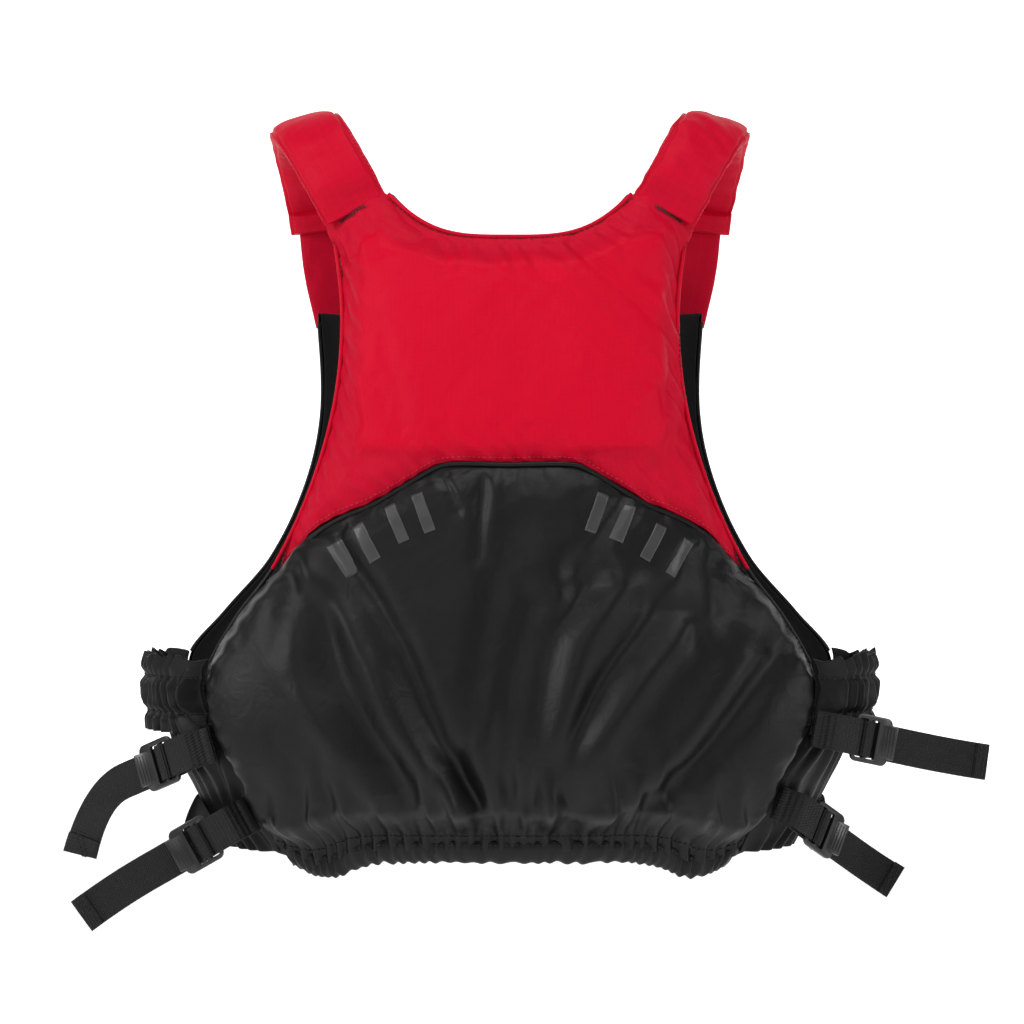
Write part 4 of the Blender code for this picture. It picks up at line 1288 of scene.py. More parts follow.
@dataclass
class FrontPanels:
    """The two zipped front panels, with their linings."""

    centre: float = 0.009
    top_outer: float = -0.131
    top_inner: float = -0.168
    top_share: float = 0.62
    overhang: float = 0.006

    def build(self) -> None:
        """Make the covers and linings of both sides."""
        for side in (-1, 1):
            word = mirror_side(side)
            cover = self._sheet("front_cover_" + word, side, self._cover_height, 90)
            dress(cover, Finish.BLACK, VEST, "front_shell_" + word)
            pad = "front_foam_pad_" + word
            surface = Surface(cover)
            self._stitch(side, surface)
            thicken(cover, FORM.cloth)
            inner = self._sheet("front_inner_lining_" + word, side, self._lining_height, 50)
            dress(thicken(inner, FORM.cloth), Finish.LINING, VEST, "front_lining_" + word)

    def top(self, u: float) -> float:
        """Top edge, u running from the zip at -1 to the arm hole at 1.

        Args:
            u: where across the panel.

        Returns:
            The height.
        """
        share = (u + 1.0) / 2.0
        return self.top_inner + (self.top_outer - self.top_inner) * smooth_step(share / self.top_share)

    def ease(self, u: float, z: float, x: float) -> float:
        """0 on the sewn edges and 1 inside.

        Args:
            u: where across the panel.
            z: the height.
            x: distance from the middle of the front.

        Returns:
            The eased share.
        """
        near = min(x - self.centre, FORM.front_half(z) - x)
        return FORM.ease(near) * FORM.ease(self.top(u) - z) * FORM.ease(z - FORM.hem_top)

    def at(self, side: int, u: float, v: float, height: Callable[[float, float, float], float]) -> Vector:
        """A point on a front panel.

        Args:
            side: the wearer's side.
            u: from -1 at the zip to 1 at the arm hole.
            v: from -1 at the hem to 1 at the top.
            height: gives the offset from the form.

        Returns:
            The point.
        """
        z = FORM.hem_top - 0.002 + (self.top(u) + self.overhang - FORM.hem_top) * (v + 1.0) / 2.0
        x = self.centre + (FORM.front_half(z) + self.overhang - self.centre) * (u + 1.0) / 2.0
        return FORM.point(FORM.front_angle(side * x, z), z, height(u, z, x))

    def _cover_height(self, u: float, z: float, x: float) -> float:
        """Offset of the cover, with seam puckers and gathers over the hem."""
        ease = self.ease(u, z, x)
        hem = z - FORM.hem_top
        gather = 0.0022 * math.sin(math.tau * x / 0.0095 + 4.0 * rough(x * 30, 2.0, 0.0))
        base = -FORM.edge_drop * (1.0 - ease) + gather * (1.0 - smooth_step((hem - 0.004) / 0.03))
        ripple = math.sin(math.tau * z / 0.016 + 3.0 * rough(x * 20, z * 30, 8.0))
        base += 0.0015 * ripple * 4.0 * ease * (1.0 - ease)
        return base + (0.0022 * rough(x * 15, 30.0, z * 12) + 0.0007 * rough(x * 50, 31.0, z * 45)) * ease

    def _lining_height(self, u: float, z: float, x: float) -> float:
        """Offset of the lining."""
        closed = FORM.sandwich - FORM.edge_drop - 0.0035
        rumple = 0.0006 * rough(x * 40, 1.0, z * 40)
        return -FORM.sandwich + FORM.cloth + closed * (1.0 - self.ease(u, z, x)) + rumple

    def _sheet(
        self, name: str, side: int, height: Callable[[float, float, float], float], cells: int
    ) -> bpy.types.Object:
        """One sheet of a front panel."""
        return sheet_mesh(name, cells, cells, (0.24, 0.36), lambda s, t: self.at(side, -side * s, t, height))

    def _stitch(self, side: int, surface: Surface) -> None:
        """Topstitch a cover along the zip, the top and the arm hole."""
        word = mirror_side(side)
        steps = [i / 100.0 - 1.0 for i in range(201)]
        rows = {
            "zip_edge_stitch_": [self.at(side, -0.95, v, self._cover_height) for v in steps],
            "front_top_stitch_": [self.at(side, u, 0.962, self._cover_height) for u in steps],
            "front_side_stitch_": [self.at(side, 0.94, v, self._cover_height) for v in steps],
            "front_panel_seam_": [self.at(side, u, 0.30, self._cover_height) for u in steps],
        }
        for name, line in rows.items():
            Seam(name + word, Finish.BLACK_THREAD).sew(line, surface)


@dataclass
class SidePanels:
    """Ruched elastic bands under the arms, and the gathered side cloth below them."""

    band_top: float = -0.372
    band_low: float = -0.424
    rows: tuple[float, float] = (-0.386, -0.410)
    ruche: float = 0.0042
    ruche_length: float = 0.0082
    frill: float = 0.0055
    low: float = -0.506
    gather: float = 0.0030

    def build(self) -> None:
        """Make both sides."""
        for side in (-1, 1):
            word = mirror_side(side)
            band = sheet_mesh("ruched_band_" + word, 150, 44, (0.24, 0.05),
                              lambda s, t, side=side: self._band(side, side * s, t))
            dress(band, Finish.BLACK, VEST, "side_elastic_band_" + word)
            "side_cloth_" + word
            surface = Surface(band)
            for index, z in enumerate(self.rows):
                line = [self._band(side, i / 100.0 - 1.0, self._share(z)) for i in range(201)]
                Seam(f"band_stitch_{index}_{word}", Finish.BLACK_THREAD).sew(line, surface)
            thicken(band, 0.0014)
            cloth = sheet_mesh("side_cloth_" + word, 110, 50, (0.2, 0.09),
                               lambda s, t, side=side: self._cloth(side, side * s, t))
            dress(thicken(cloth, 0.0012), Finish.BLACK, VEST, "side_panel_" + word)
            "ruched_band_" + word

    def _share(self, z: float) -> float:
        """Height as a share from -1 to 1 of the band."""
        return (z - self.band_low) / (self.band_top - self.band_low) * 2.0 - 1.0

    def _angle(self, side: int, share: float, z: float) -> float:
        """Angle on the side of the vest, share from the back edge at -1 to the front edge at 1."""
        start = FORM.back_angle(FORM.back_half(z) + 0.001, z)
        end = FORM.front_angle(FORM.front_half(z) + 0.001, z)
        return side * (start + (end - start) * (share + 1.0) / 2.0)

    def _band(self, side: int, share: float, t: float) -> Vector:
        """A point on the ruched band."""
        z = self.band_low + (self.band_top - self.band_low) * (t + 1.0) / 2.0
        run = share * 0.055
        pinch = max(math.exp(-(((z - row) / 0.0032) ** 2)) for row in self.rows)
        phase = 7.0 * rough(run * 34, side * 2.0, z * 26)
        strength = 0.7 + 0.8 * rough(run * 70, z * 40, 9.0)
        wave = math.sin(math.tau * run / self.ruche_length + phase) * strength
        loose = 1.0 - 0.5 * pinch
        edge = smooth_step((1.0 - abs(share)) / 0.10)
        angle = self._angle(side, share, z)
        rise = self.frill * (0.5 * wave + rough(run * 60, side * 5.0, 0.0)) * smooth_step((t - 0.3) / 0.7)
        lift = self.ruche * loose * (wave + 0.4 * rough(run * 130, z * 60, 3.0)) * (0.3 + 0.7 * edge)
        return FORM.point(angle, z + rise, 0.009 + lift - 0.012 * (1.0 - edge) - 0.0018 * pinch)

    def _cloth(self, side: int, share: float, t: float) -> Vector:
        """A point on the cloth below the band."""
        top = self.band_low + 0.006
        z = self.low + (top - self.low) * (t + 1.0) / 2.0
        run = share * 0.07
        edge = smooth_step((1.0 - abs(share)) / 0.12)
        ends = 0.45 + 0.55 * abs(t)
        wave = math.sin(math.tau * run / 0.0125 + 7.0 * rough(run * 26, z * 22, side * 3.0))
        angle = self._angle(side, share, z)
        return FORM.point(angle, z, -0.006 + self.gather * wave * ends * edge - 0.003 * (1.0 - edge))


@dataclass
class Shoulders:
    """Padded straps over the shoulders, with the cuffs and the narrow front straps."""

    route: tuple[tuple[float, float, float], ...] = (
        (0.1065, -0.0605, -0.0640), (0.1195, -0.0600, -0.0400), (0.1350, -0.0440, -0.0130),
        (0.1455, -0.0150, -0.0020), (0.1470, 0.0180, -0.0050), (0.1465, 0.0420, -0.0150),
        (0.1430, 0.0580, -0.0320), (0.1395, 0.0675, -0.0500),
    )
    across: tuple[tuple[float, float, float], ...] = (
        (0.88, 0.10, -0.47), (0.88, 0.15, -0.47), (0.90, 0.22, -0.36), (0.96, 0.08, -0.26),
        (1.0, 0.0, -0.16), (1.0, 0.05, -0.02), (0.97, -0.10, 0.10), (0.93, -0.15, 0.18),
    )
    cuff_route: tuple[tuple[float, float, float], ...] = (
        (0.1396, 0.0680, -0.0490), (0.1377, 0.0728, -0.0655),
    )
    cuff_across: tuple[tuple[float, float, float], ...] = ((0.93, -0.15, 0.18), (0.93, -0.15, 0.20))
    front_route: tuple[tuple[float, float, float], ...] = (
        (0.1375, 0.0738, -0.0640), (0.1345, 0.0775, -0.0950), (0.1268, 0.0830, -0.1320),
    )
    front_across: tuple[tuple[float, float, float], ...] = (
        (0.93, -0.15, 0.20), (0.95, -0.30, 0.12), (0.95, -0.38, 0.05),
    )
    cuff_thick: float = 0.0088
    cuff_crumple: float = 0.0004
    half_width: float = 0.0240
    half_thick: float = 0.0098
    end_squash: float = 0.72
    crumple: tuple[float, float] = (0.0004, 0.0008)

    def build(self) -> None:
        """Make both shoulders."""
        for side in (-1, 1):
            word = mirror_side(side)
            strap = self._route(side, self.route, self.across)
            amount = self.crumple[0] if side < 0 else self.crumple[1]
            node = "shoulder_strap_" + word
            self._tube("padded_strap_" + word, side, strap, self.half_thick, 128, amount, node)
            cuff = self._route(side, self.cuff_route, self.cuff_across)
            node = "strap_cuff_" + word
            self._tube("cuff_sleeve_" + word, side, cuff, self.cuff_thick, 20, self.cuff_crumple, node)
            self._core(side, strap)
            self._front(side)

    def _route(self, side: int, points: Sequence[tuple], across: Sequence[tuple]) -> Route:
        """A route on the wearer's right, or mirrored to the left."""
        centre = [Vector((side * x, y, z)) for x, y, z in points]
        return Route(centre, [Vector((x, side * y, side * z)) for x, y, z in across])

    def _ring(self, route: Route, share: float, turn: float, half_thick: float, bulge: float) -> Vector:
        """A point round a flattened tube."""
        point, _, side, normal = route.at(share)
        close = 1.0 - self.end_squash * smooth_step((abs(share * 2.0 - 1.0) - 0.72) / 0.28)
        out = (self.half_width + bulge) * math.copysign(abs(math.cos(turn)) ** 0.75, math.cos(turn))
        up = (half_thick * close + bulge) * math.copysign(abs(math.sin(turn)) ** 0.8, math.sin(turn))
        return point + side * out + normal * up

    def _tube(
        self, name: str, side: int, route: Route, half_thick: float, rows: int, crumple: float, node: str
    ) -> None:
        """One padded tube of red cloth with a welted seam down its outer edge."""
        long = route.length

        def place(s: float, t: float) -> Vector:
            share = (t + 1.0) / 2.0
            turn = s * math.pi + math.pi / 2.0
            run = share * long
            bend = math.cos(turn)
            cross = math.sin(math.tau * run / 0.017 + 4.0 * rough(run * 30, side * 3.0, bend))
            edge = abs(bend) ** 3
            wrinkle = crumple * (cross * (0.5 - 0.3 * edge) + 1.2 * rough(run * 60, bend * 1.6 + side, 2.0))
            wrinkle += 0.5 * crumple * rough(run * 170, bend * 5.0, side * 7.0)
            welt = -0.0016 * math.exp(-(((abs(bend) - 0.90) / 0.06) ** 2))
            return self._ring(route, share, turn, half_thick, wrinkle + welt)

        piece = sheet_mesh(name, 72, rows, (0.13, long), place)
        bm = bmesh.new()
        bm.from_mesh(piece.data)
        bmesh.ops.remove_doubles(bm, verts=bm.verts[:], dist=0.00005)
        bmesh.ops.holes_fill(bm, edges=[e for e in bm.edges if e.is_boundary], sides=0)
        bmesh.ops.recalc_face_normals(bm, faces=bm.faces[:])
        bm.to_mesh(piece.data)
        bm.free()
        piece.data.shade_smooth()
        mark_field(piece, [0.3] * len(piece.data.vertices))
        surface = Surface(piece)
        soft = piece.modifiers.new("soft", "SUBSURF")
        soft.levels = soft.render_levels = 1
        dress(piece, Finish.RED, VEST, node)
        self._stitch(name, route, half_thick, surface)

    def _stitch(self, name: str, route: Route, half_thick: float, surface: Surface) -> None:
        """Stitch rows along both edges, and a row across the end."""
        for index, turn in enumerate((0.30, math.pi - 0.30)):
            line = [self._ring(route, 0.02 + 0.96 * i / 90, turn, half_thick, 0.0) for i in range(91)]
            Seam(f"{name}_edge_{index}", Finish.RED_THREAD).sew(line, surface)
        end = [self._ring(route, 0.93, 0.15 + 2.84 * i / 40, half_thick, 0.0) for i in range(41)]
        Seam(name + "_end", Finish.RED_THREAD).sew(end, surface)

    def _core(self, side: int, route: Route) -> None:
        """The foam strip inside the strap."""
        def place(s: float, t: float) -> Vector:
            share = 0.10 + 0.80 * (t + 1.0) / 2.0
            point, _, cross, normal = route.at(share)
            turn = s * math.pi
            return point + cross * 0.0150 * math.cos(turn) + normal * 0.0050 * math.sin(turn)

        piece = closed_tube("shoulder_foam_" + mirror_side(side), 24, 40, place)
        dress(piece, Finish.FOAM, VEST, "shoulder_pad_" + mirror_side(side))

    def _front(self, side: int) -> None:
        """The narrow strap from the cuff down to the front panel."""
        route = self._route(side, self.front_route, self.front_across)

        def place(s: float, t: float) -> Vector:
            share = (t + 1.0) / 2.0
            point, _, cross, normal = route.at(share)
            turn = s * math.pi
            wave = 0.0008 * rough(share * 6, math.cos(turn) * 2, side * 4.0)
            out = 0.018 * math.copysign(abs(math.cos(turn)) ** 0.7, math.cos(turn))
            return point + cross * out + normal * (0.0034 * math.sin(turn) + wave)

        piece = closed_tube("front_webbed_strap_" + mirror_side(side), 40, 44, place)
        mark_field(piece, [0.0] * len(piece.data.vertices))
        dress(piece, Finish.RED, VEST, "front_strap_" + mirror_side(side))


def closed_tube(name: str, columns: int, rows: int, place: Place) -> bpy.types.Object:
    """A tube whose ends are closed: place() gets s round it from -1 to 1 and t along it.

    Args:
        name: the object's name.
        columns: faces round it.
        rows: faces along it.
        place: puts s and t in the vest's frame.

    Returns:
        The closed piece.
    """
    piece = sheet_mesh(name, columns, rows, (0.08, 0.12), place)
    bm = bmesh.new()
    bm.from_mesh(piece.data)
    bmesh.ops.remove_doubles(bm, verts=bm.verts[:], dist=0.00005)
    bmesh.ops.holes_fill(bm, edges=[e for e in bm.edges if e.is_boundary], sides=0)
    bmesh.ops.recalc_face_normals(bm, faces=bm.faces[:])
    bm.to_mesh(piece.data)
    bm.free()
    piece.data.shade_smooth()
    return piece


@dataclass
class Bindings:
    """Cloth tape that binds the neck and the arm holes."""

    radius: float = 0.0014
    offset: float = 0.0060
    back_span: tuple[float, float] = (-0.080, -0.376)
    front_span: tuple[float, float] = (-0.134, -0.372)

    def build(self) -> None:
        """Make the neck binding and the four arm hole bindings."""
        neck = []
        for step in range(81):
            u = FORM.neck_corner_share * 0.98 * (step / 40.0 - 1.0)
            z = FORM.neckline(u)
            x = u * (FORM.back_half(z) + self.offset)
            neck.append(FORM.point(FORM.back_angle(x, z), z + self.offset * 0.8, -FORM.edge_drop - 0.0008))
        self._bind("neck_edge", neck, Finish.RED, "neck_binding")
        for side in (-1, 1):
            word = mirror_side(side)
            change = FORM.piping(1.0)
            back, front = (FORM.back_half, FORM.back_angle), (FORM.front_half, FORM.front_angle)
            for name, span, (edge, turn), finish, node in (
                ("back_arm_edge_", (self.back_span[0], change), back, Finish.RED, "armhole_binding_back_"),
                ("lower_arm_edge_", (change, self.back_span[1]), back, Finish.BLACK, "armhole_binding_back_"),
                ("front_arm_edge_", self.front_span, front, Finish.BLACK, "armhole_binding_front_"),
            ):
                line = []
                for step in range(81):
                    z = span[0] + (span[1] - span[0]) * step / 80.0
                    x = side * (edge(z) + self.offset)
                    line.append(FORM.point(turn(x, z), z, -FORM.edge_drop - 0.0008))
                self._bind(name + word, line, finish, node + word)

    def _bind(self, name: str, line: list[Vector], finish: Finish, node: str) -> None:
        """One length of binding."""
        piece = cord_mesh(name, line, self.radius, 12)
        mark_field(piece, [0.6] * len(piece.data.vertices))
        dress(piece, finish, VEST, node)


@dataclass
class FoamPads:
    """The buoyant slabs inside the back and the fronts."""

    inset: float = 0.0042

    def build(self) -> None:
        """Make the five slabs."""
        upper = (FORM.neckline, FORM.piping)
        self._back("upper_back_foam", "back_upper_foam", (-0.79, 0.79), (-0.72, 0.68), *upper)
        for word, low, high in (("left", -0.84, -0.02), ("right", 0.02, 0.84)):
            self._back("lower_back_foam_" + word, "back_lower_foam_" + word, (low, high), (-0.74, 0.78),
                       FORM.piping, FORM.hem)
        for side in (-1, 1):
            self._front(side)

    def _slab(self, name: str, node: str, place: Callable[[float, float, float], Vector]) -> None:
        """A slab from two faces with rounded edges; place() gets w 1 outside and -1 inside."""
        bm = bmesh.new()
        bmesh.ops.create_cube(bm, size=2.0)
        bmesh.ops.subdivide_edges(bm, edges=bm.edges[:], cuts=11, use_grid_fill=True)
        for vert in bm.verts:
            co = vert.co
            edge = max(abs(co.x), abs(co.y))
            round_off = 1.0 - 0.25 * smooth_step((edge - 0.8) / 0.2)
            vert.co = place(co.x, co.y, co.z * round_off)
        bmesh.ops.recalc_face_normals(bm, faces=bm.faces[:])
        piece = link(name, bm)
        dress(piece, Finish.FOAM, VEST, node)

    def _back(self, name: str, node: str, us: tuple[float, float], vs: tuple[float, float],
              top: Callable[[float], float], low: Callable[[float], float]) -> None:
        """A slab of the back between two lines."""
        def place(s: float, t: float, w: float) -> Vector:
            u = us[0] + (us[1] - us[0]) * (s + 1.0) / 2.0
            v = vs[0] + (vs[1] - vs[0]) * (t + 1.0) / 2.0
            z = low(u) + (top(u) - low(u)) * (v + 1.0) / 2.0
            outer, inner = -FORM.cloth - self.inset - 0.004, -FORM.sandwich + FORM.cloth + self.inset
            return FORM.back_at(u, z, (outer + inner) / 2.0 + w * (outer - inner) / 2.0)

        self._slab(name, node, place)

    def _front(self, side: int) -> None:
        """A slab of one front panel."""
        panels = FrontPanels()
        word = mirror_side(side)

        def place(s: float, t: float, w: float) -> Vector:
            u = -0.70 + 1.30 * (side * s + 1.0) / 2.0
            v = -0.78 + 1.46 * (t + 1.0) / 2.0
            outer, inner = -FORM.cloth - self.inset, -FORM.sandwich + FORM.cloth + self.inset
            middle, half = (outer + inner) / 2.0, (outer - inner) / 2.0
            return panels.at(side, u, v, lambda a, b, c: middle + w * half)

        self._slab("front_foam_pad_" + word, "front_foam_" + word, place)


@dataclass
class Zip:
    """The front zip: woven tapes, separate teeth, and its packed slider, puller and bottom box."""

    top: float = -0.172
    bottom: float = -0.4965
    pitch: float = 0.0026
    tooth: tuple[float, float, float] = (0.0011, 0.0014, 0.0009)
    tape_outer: float = 0.016
    tape_inner: float = 0.0026
    tooth_offset: float = 0.0012
    tooth_bevel: float = 0.0003
    level: float = -0.01185

    def build(self) -> None:
        """Make the tapes and teeth and finish the other parts."""
        for side in (-1, 1):
            word = mirror_side(side)
            self._teeth(side, word)
            tape = sheet_mesh("woven_zip_tape_" + word, 12, 60, (0.014, 0.32),
                              lambda s, t, side=side: self._tape(side, s, t))
            dress(thicken(tape, 0.0007, 0, 0.0), Finish.WEBBING, VEST, "zip_tape_" + word)
        for node in ("zip_bottom_box", "zip_slider", "zip_pull"):
            refinish(node, Finish.PLASTIC)

    def _teeth(self, side: int, word: str) -> None:
        """One row of moulded teeth."""
        bm = bmesh.new()
        count = int((self.top - self.bottom) / self.pitch)
        for index in range(count):
            z = self.bottom + self.pitch * (index + 0.5 + 0.5 * (side > 0))
            size = Matrix.Diagonal((*(2.0 * part for part in self.tooth), 1.0))
            move = Matrix.Translation((side * self.tooth_offset, FORM.front_depth + self.level, z))
            bmesh.ops.create_cube(bm, size=1.0, matrix=move @ size)
        bmesh.ops.bevel(
            bm, geom=bm.edges[:], offset=self.tooth_bevel, segments=1, profile=0.5, affect="EDGES",
            material=-1,
        )
        dress(link("zip_tooth_row_" + word, bm), Finish.PLASTIC, VEST, "zip_teeth_" + word)

    def _tape(self, side: int, s: float, t: float) -> Vector:
        """A point on a tape."""
        x = self.tape_inner + (self.tape_outer - self.tape_inner) * (s * -side + 1.0) / 2.0
        z = self.bottom + (self.top - self.bottom) * (t + 1.0) / 2.0
        return FORM.point(FORM.front_angle(side * x, z), z, self.level)


@dataclass
class Adjuster:
    """One side adjuster: sewn anchor loop, ladder-lock buckle, free end and load strap."""

    name: str
    side: int
    height: float
    loop_length: float
    slope: float
    yaw: float
    tail_length: float
    droop: tuple[float, float, float]
    web_half: float = 0.0125
    web: float = 0.0016
    stand_off: float = 0.0125
    loop_radius: float = 0.0034
    loop_straight: float = 0.0145
    loop_sewn: float = 0.0088
    tail_level: float = -0.0053
    tail_start: float = -0.003
    tail_straight: float = 0.053
    tail_hem: float = 0.009
    load_level: float = -0.0088
    load_drop: float = 0.003
    load_lift: float = 0.005
    load_lowest: float = -0.486

    def build(self) -> None:
        """Make and dress the adjuster's pieces."""
        self._anchor()
        self._buckle()
        self._wrap()
        self._tail()
        self._load()

    @cached_property
    def matrix(self) -> Matrix:
        """X along the buckle's bar, Y along the strap and Z away from the vest."""
        x = self.side * (FORM.back_half(self.height) + 0.002)
        anchor = FORM.point(FORM.back_angle(x, self.height), self.height)
        level = math.cos(self.slope)
        sideways = self.side * level * math.cos(self.yaw)
        along = Vector((sideways, level * math.sin(self.yaw), -math.sin(self.slope)))
        outward = Vector((self.side * math.sin(self.yaw), -math.cos(self.yaw), 0.0))
        across = along.cross(outward).normalized()
        outward = across.cross(along).normalized()
        turn = Matrix((across, along, outward)).transposed().to_4x4()
        return Matrix.Translation(anchor + outward * self.stand_off + along * self.loop_length) @ turn

    def _strip(self, name: str, rows: int, length: float, centre: Callable[[float], Vector],
               normal: Callable[[float], Vector], half: float = 0.0,
               thickness: float = 0.0) -> bpy.types.Object:
        """A webbing strip along a line in the adjuster's own frame.

        Args:
            name: the piece's name.
            rows: faces along it.
            length: its length.
            centre: gives the centre line at a share of the length.
            normal: gives the direction its face looks.
            half: half its width.
            thickness: its thickness.

        Returns:
            The strip in the vest's frame.
        """
        half = half or self.web_half
        thickness = thickness or self.web

        def place(s: float, t: float) -> Vector:
            share = (t + 1.0) / 2.0
            turn = s * math.pi
            out = math.copysign(abs(math.cos(turn)) ** 0.35, math.cos(turn)) * half
            up = math.copysign(abs(math.sin(turn)) ** 0.6, math.sin(turn)) * thickness / 2.0
            ahead = (centre(min(1.0, share + 0.005)) - centre(max(0.0, share - 0.005))).normalized()
            side = Vector((1.0, 0.0, 0.0))
            side = (side - ahead * side.dot(ahead)).normalized()
            return self.matrix @ (centre(share) + side * out + normal(share) * up)

        piece = closed_tube(name, 28, rows, place)
        layer = piece.data.uv_layers["UVMap"]
        back = self.matrix.inverted()
        for loop in piece.data.loops:
            local = back @ piece.data.vertices[loop.vertex_index].co
            layer.data[loop.index].uv = (local.x, layer.data[loop.index].uv[1] / 0.12 * length)
        return piece

    def _anchor(self) -> None:
        """The doubled loop from the seam round the buckle's bar and back."""
        straight = self.loop_length - self.loop_straight

        def read(share: float) -> tuple[Vector, Vector]:
            leg = share * 2.0 - 1.0
            sign = 1.0 if leg < 0 else -1.0
            leg = abs(leg)
            if leg < 0.4:
                turn = (1.0 - leg / 0.4) * math.pi / 2.0
                face = Vector((0.0, math.sin(turn), sign * math.cos(turn)))
                return face * self.loop_radius, face
            along = -self.loop_length * (leg - 0.4) / 0.6
            sewn = smooth_step((-along - self.loop_straight) / straight)
            meet = -self.loop_sewn + sign * (self.web / 2.0 + 0.0003)
            out = sign * self.loop_radius * (1.0 - sewn) + meet * sewn
            return Vector((0.0, along - 0.003 * (leg > 0.99), out)), Vector((0.0, 0.0, sign))

        piece = self._strip("webbing_loop_" + self.name, 70, 2.0 * self.loop_length,
                            lambda share: read(share)[0], lambda share: read(share)[1])
        dress(piece, Finish.WEBBING, VEST, "anchor_loop_" + self.name)
        tack = [self.matrix @ Vector((x * 0.0011, -0.0155, 0.0)) for x in range(-10, 11)]
        Seam("loop_bartack_" + self.name, Finish.BLACK_THREAD, 0.0012, 0.0).sew(tack, Surface(piece), 0.0012)

    def _buckle(self) -> None:
        """The rounded frame with two slots, ribs on its middle bar and a raised thumb tab."""
        curve = bpy.data.curves.new("buckle_outline_" + self.name, "CURVE")
        curve.dimensions = "2D"
        curve.fill_mode = "BOTH"
        curve.extrude = 0.0016 - 0.0006
        curve.bevel_depth = 0.0006
        curve.bevel_resolution = 2
        self._outline(curve, 0.0165 - 0.0006, -0.0015 + 0.0006, 0.0280 - 0.0006, 0.0042, 6)
        for start, end in ((0.0015, 0.0075), (0.0105, 0.0170)):
            self._outline(curve, 0.0133 + 0.0006, start - 0.0006, end + 0.0006, 0.0012, 2)
        piece = from_curve("ladder_buckle_" + self.name, curve, self.matrix)
        bm = bmesh.new()
        bm.from_mesh(piece.data)
        lift = Matrix.Translation((0.0, 0.0192, 0.0016 - 0.0006)) @ Matrix.Rotation(0.35, 4, "X")
        self._block(bm, lift @ Matrix.Translation((0.0, 0.006, -0.0008)), (0.023, 0.012, 0.0026), 0.0008)
        for index in range(4):
            rib = lift @ Matrix.Translation((0.0, 0.0035 + 0.0022 * index, 0.0006))
            self._block(bm, rib, (0.019, 0.0008, 0.0006), 0.00022)
        for index in range(-5, 6):
            tooth = Matrix.Translation((index * 0.0023, 0.0090, 0.0017))
            self._block(bm, tooth, (0.0010, 0.0024, 0.0007), 0.0002)
        bm.to_mesh(piece.data)
        bm.free()
        piece.data.shade_smooth()
        piece.data.set_sharp_from_angle(angle=math.radians(40))
        dress(piece, Finish.PLASTIC, "buckle_" + self.name, "buckle_" + self.name)

    def _block(
        self, bm: bmesh.types.BMesh, matrix: Matrix, size: tuple[float, float, float], bevel: float
    ) -> None:
        """A small bevelled block in the adjuster's frame."""
        sized = self.matrix @ matrix @ Matrix.Diagonal((*size, 1.0))
        made = bmesh.ops.create_cube(bm, size=1.0, matrix=sized)
        edges = list({edge for vert in made["verts"] for edge in vert.link_edges})
        bmesh.ops.bevel(bm, geom=edges, offset=bevel, segments=2, profile=0.5, affect="EDGES", material=-1)

    def _outline(
        self, curve: bpy.types.Curve, half: float, start: float, end: float, radius: float, steps: int
    ) -> None:
        """Add a rounded rectangle to a flat curve."""
        points = []
        for x, y, first in ((half - radius, end - radius, 0.0), (radius - half, end - radius, 0.5),
                            (radius - half, start + radius, 1.0), (half - radius, start + radius, 1.5)):
            for step in range(steps + 1):
                turn = math.pi * (first + 0.5 * step / steps)
                points.append((x + radius * math.cos(turn), y + radius * math.sin(turn)))
        spline = curve.splines.new("POLY")
        spline.points.add(len(points) - 1)
        for target, (x, y) in zip(spline.points, points):
            target.co = (x, y, 0.0, 1.0)
        spline.use_cyclic_u = True

    def _wrap(self) -> None:
        """The webbing where it climbs through one slot, over the middle bar and down the other."""
        points = [Vector((0.0, y, z)) for y, z in (
            (0.0190, -0.0078), (0.0150, -0.0040), (0.0133, 0.0005), (0.0112, 0.0032), (0.0090, 0.0036),
            (0.0068, 0.0032), (0.0050, 0.0005), (0.0034, -0.0036), (0.0002, -0.0052),
        )]
        route = Route(points, [Vector((1.0, 0.0, 0.0))] * len(points))
        piece = self._strip(
            "threaded_webbing_" + self.name, 60, route.length,
            lambda share: route.at(share)[0], lambda share: route.at(share)[3], 0.0122,
        )
        dress(piece, Finish.WEBBING, "buckle_" + self.name)

    def _tail(self) -> None:
        """The free end with its folded and sewn hem."""
        length = self.tail_length
        local = self.matrix.to_3x3().inverted() @ Vector(self.droop)

        def centre(share: float) -> Vector:
            distance = self.tail_start + (length - self.tail_start) * share
            beyond = max(0.0, distance - self.tail_straight) / (length - self.tail_straight)
            return Vector((0.0, distance, self.tail_level)) + local * beyond * beyond

        def normal(share: float) -> Vector:
            ahead = centre(min(1.0, share + 0.01)) - centre(max(0.0, share - 0.01))
            return Vector((1.0, 0.0, 0.0)).cross(ahead.normalized()).normalized()

        piece = self._strip("free_end_" + self.name, 90, length, centre, normal)
        fold = 1.0 - self.tail_hem / length
        body = "tail_" + self.name
        dress(piece, Finish.WEBBING, body, "strap_tail_" + self.name)
        flap = self._strip("free_end_hem_" + self.name, 12, self.tail_hem,
                           lambda share: centre(fold + (1.0 - fold) * share) + normal(1.0) * self.web,
                           lambda share: normal(1.0))
        dress(flap, Finish.WEBBING, body)
        surface = Surface(flap)
        for row in (0.25, 0.7):
            spot = centre(fold + (1.0 - fold) * row) + normal(1.0) * self.web * 1.6
            line = [self.matrix @ (spot + Vector((x * 0.001, 0.0, 0.0))) for x in range(-11, 12)]
            name = f"hem_stitch_{int(row * 100)}_{self.name}"
            Seam(name, Finish.BLACK_THREAD, body=body).sew(line, surface)

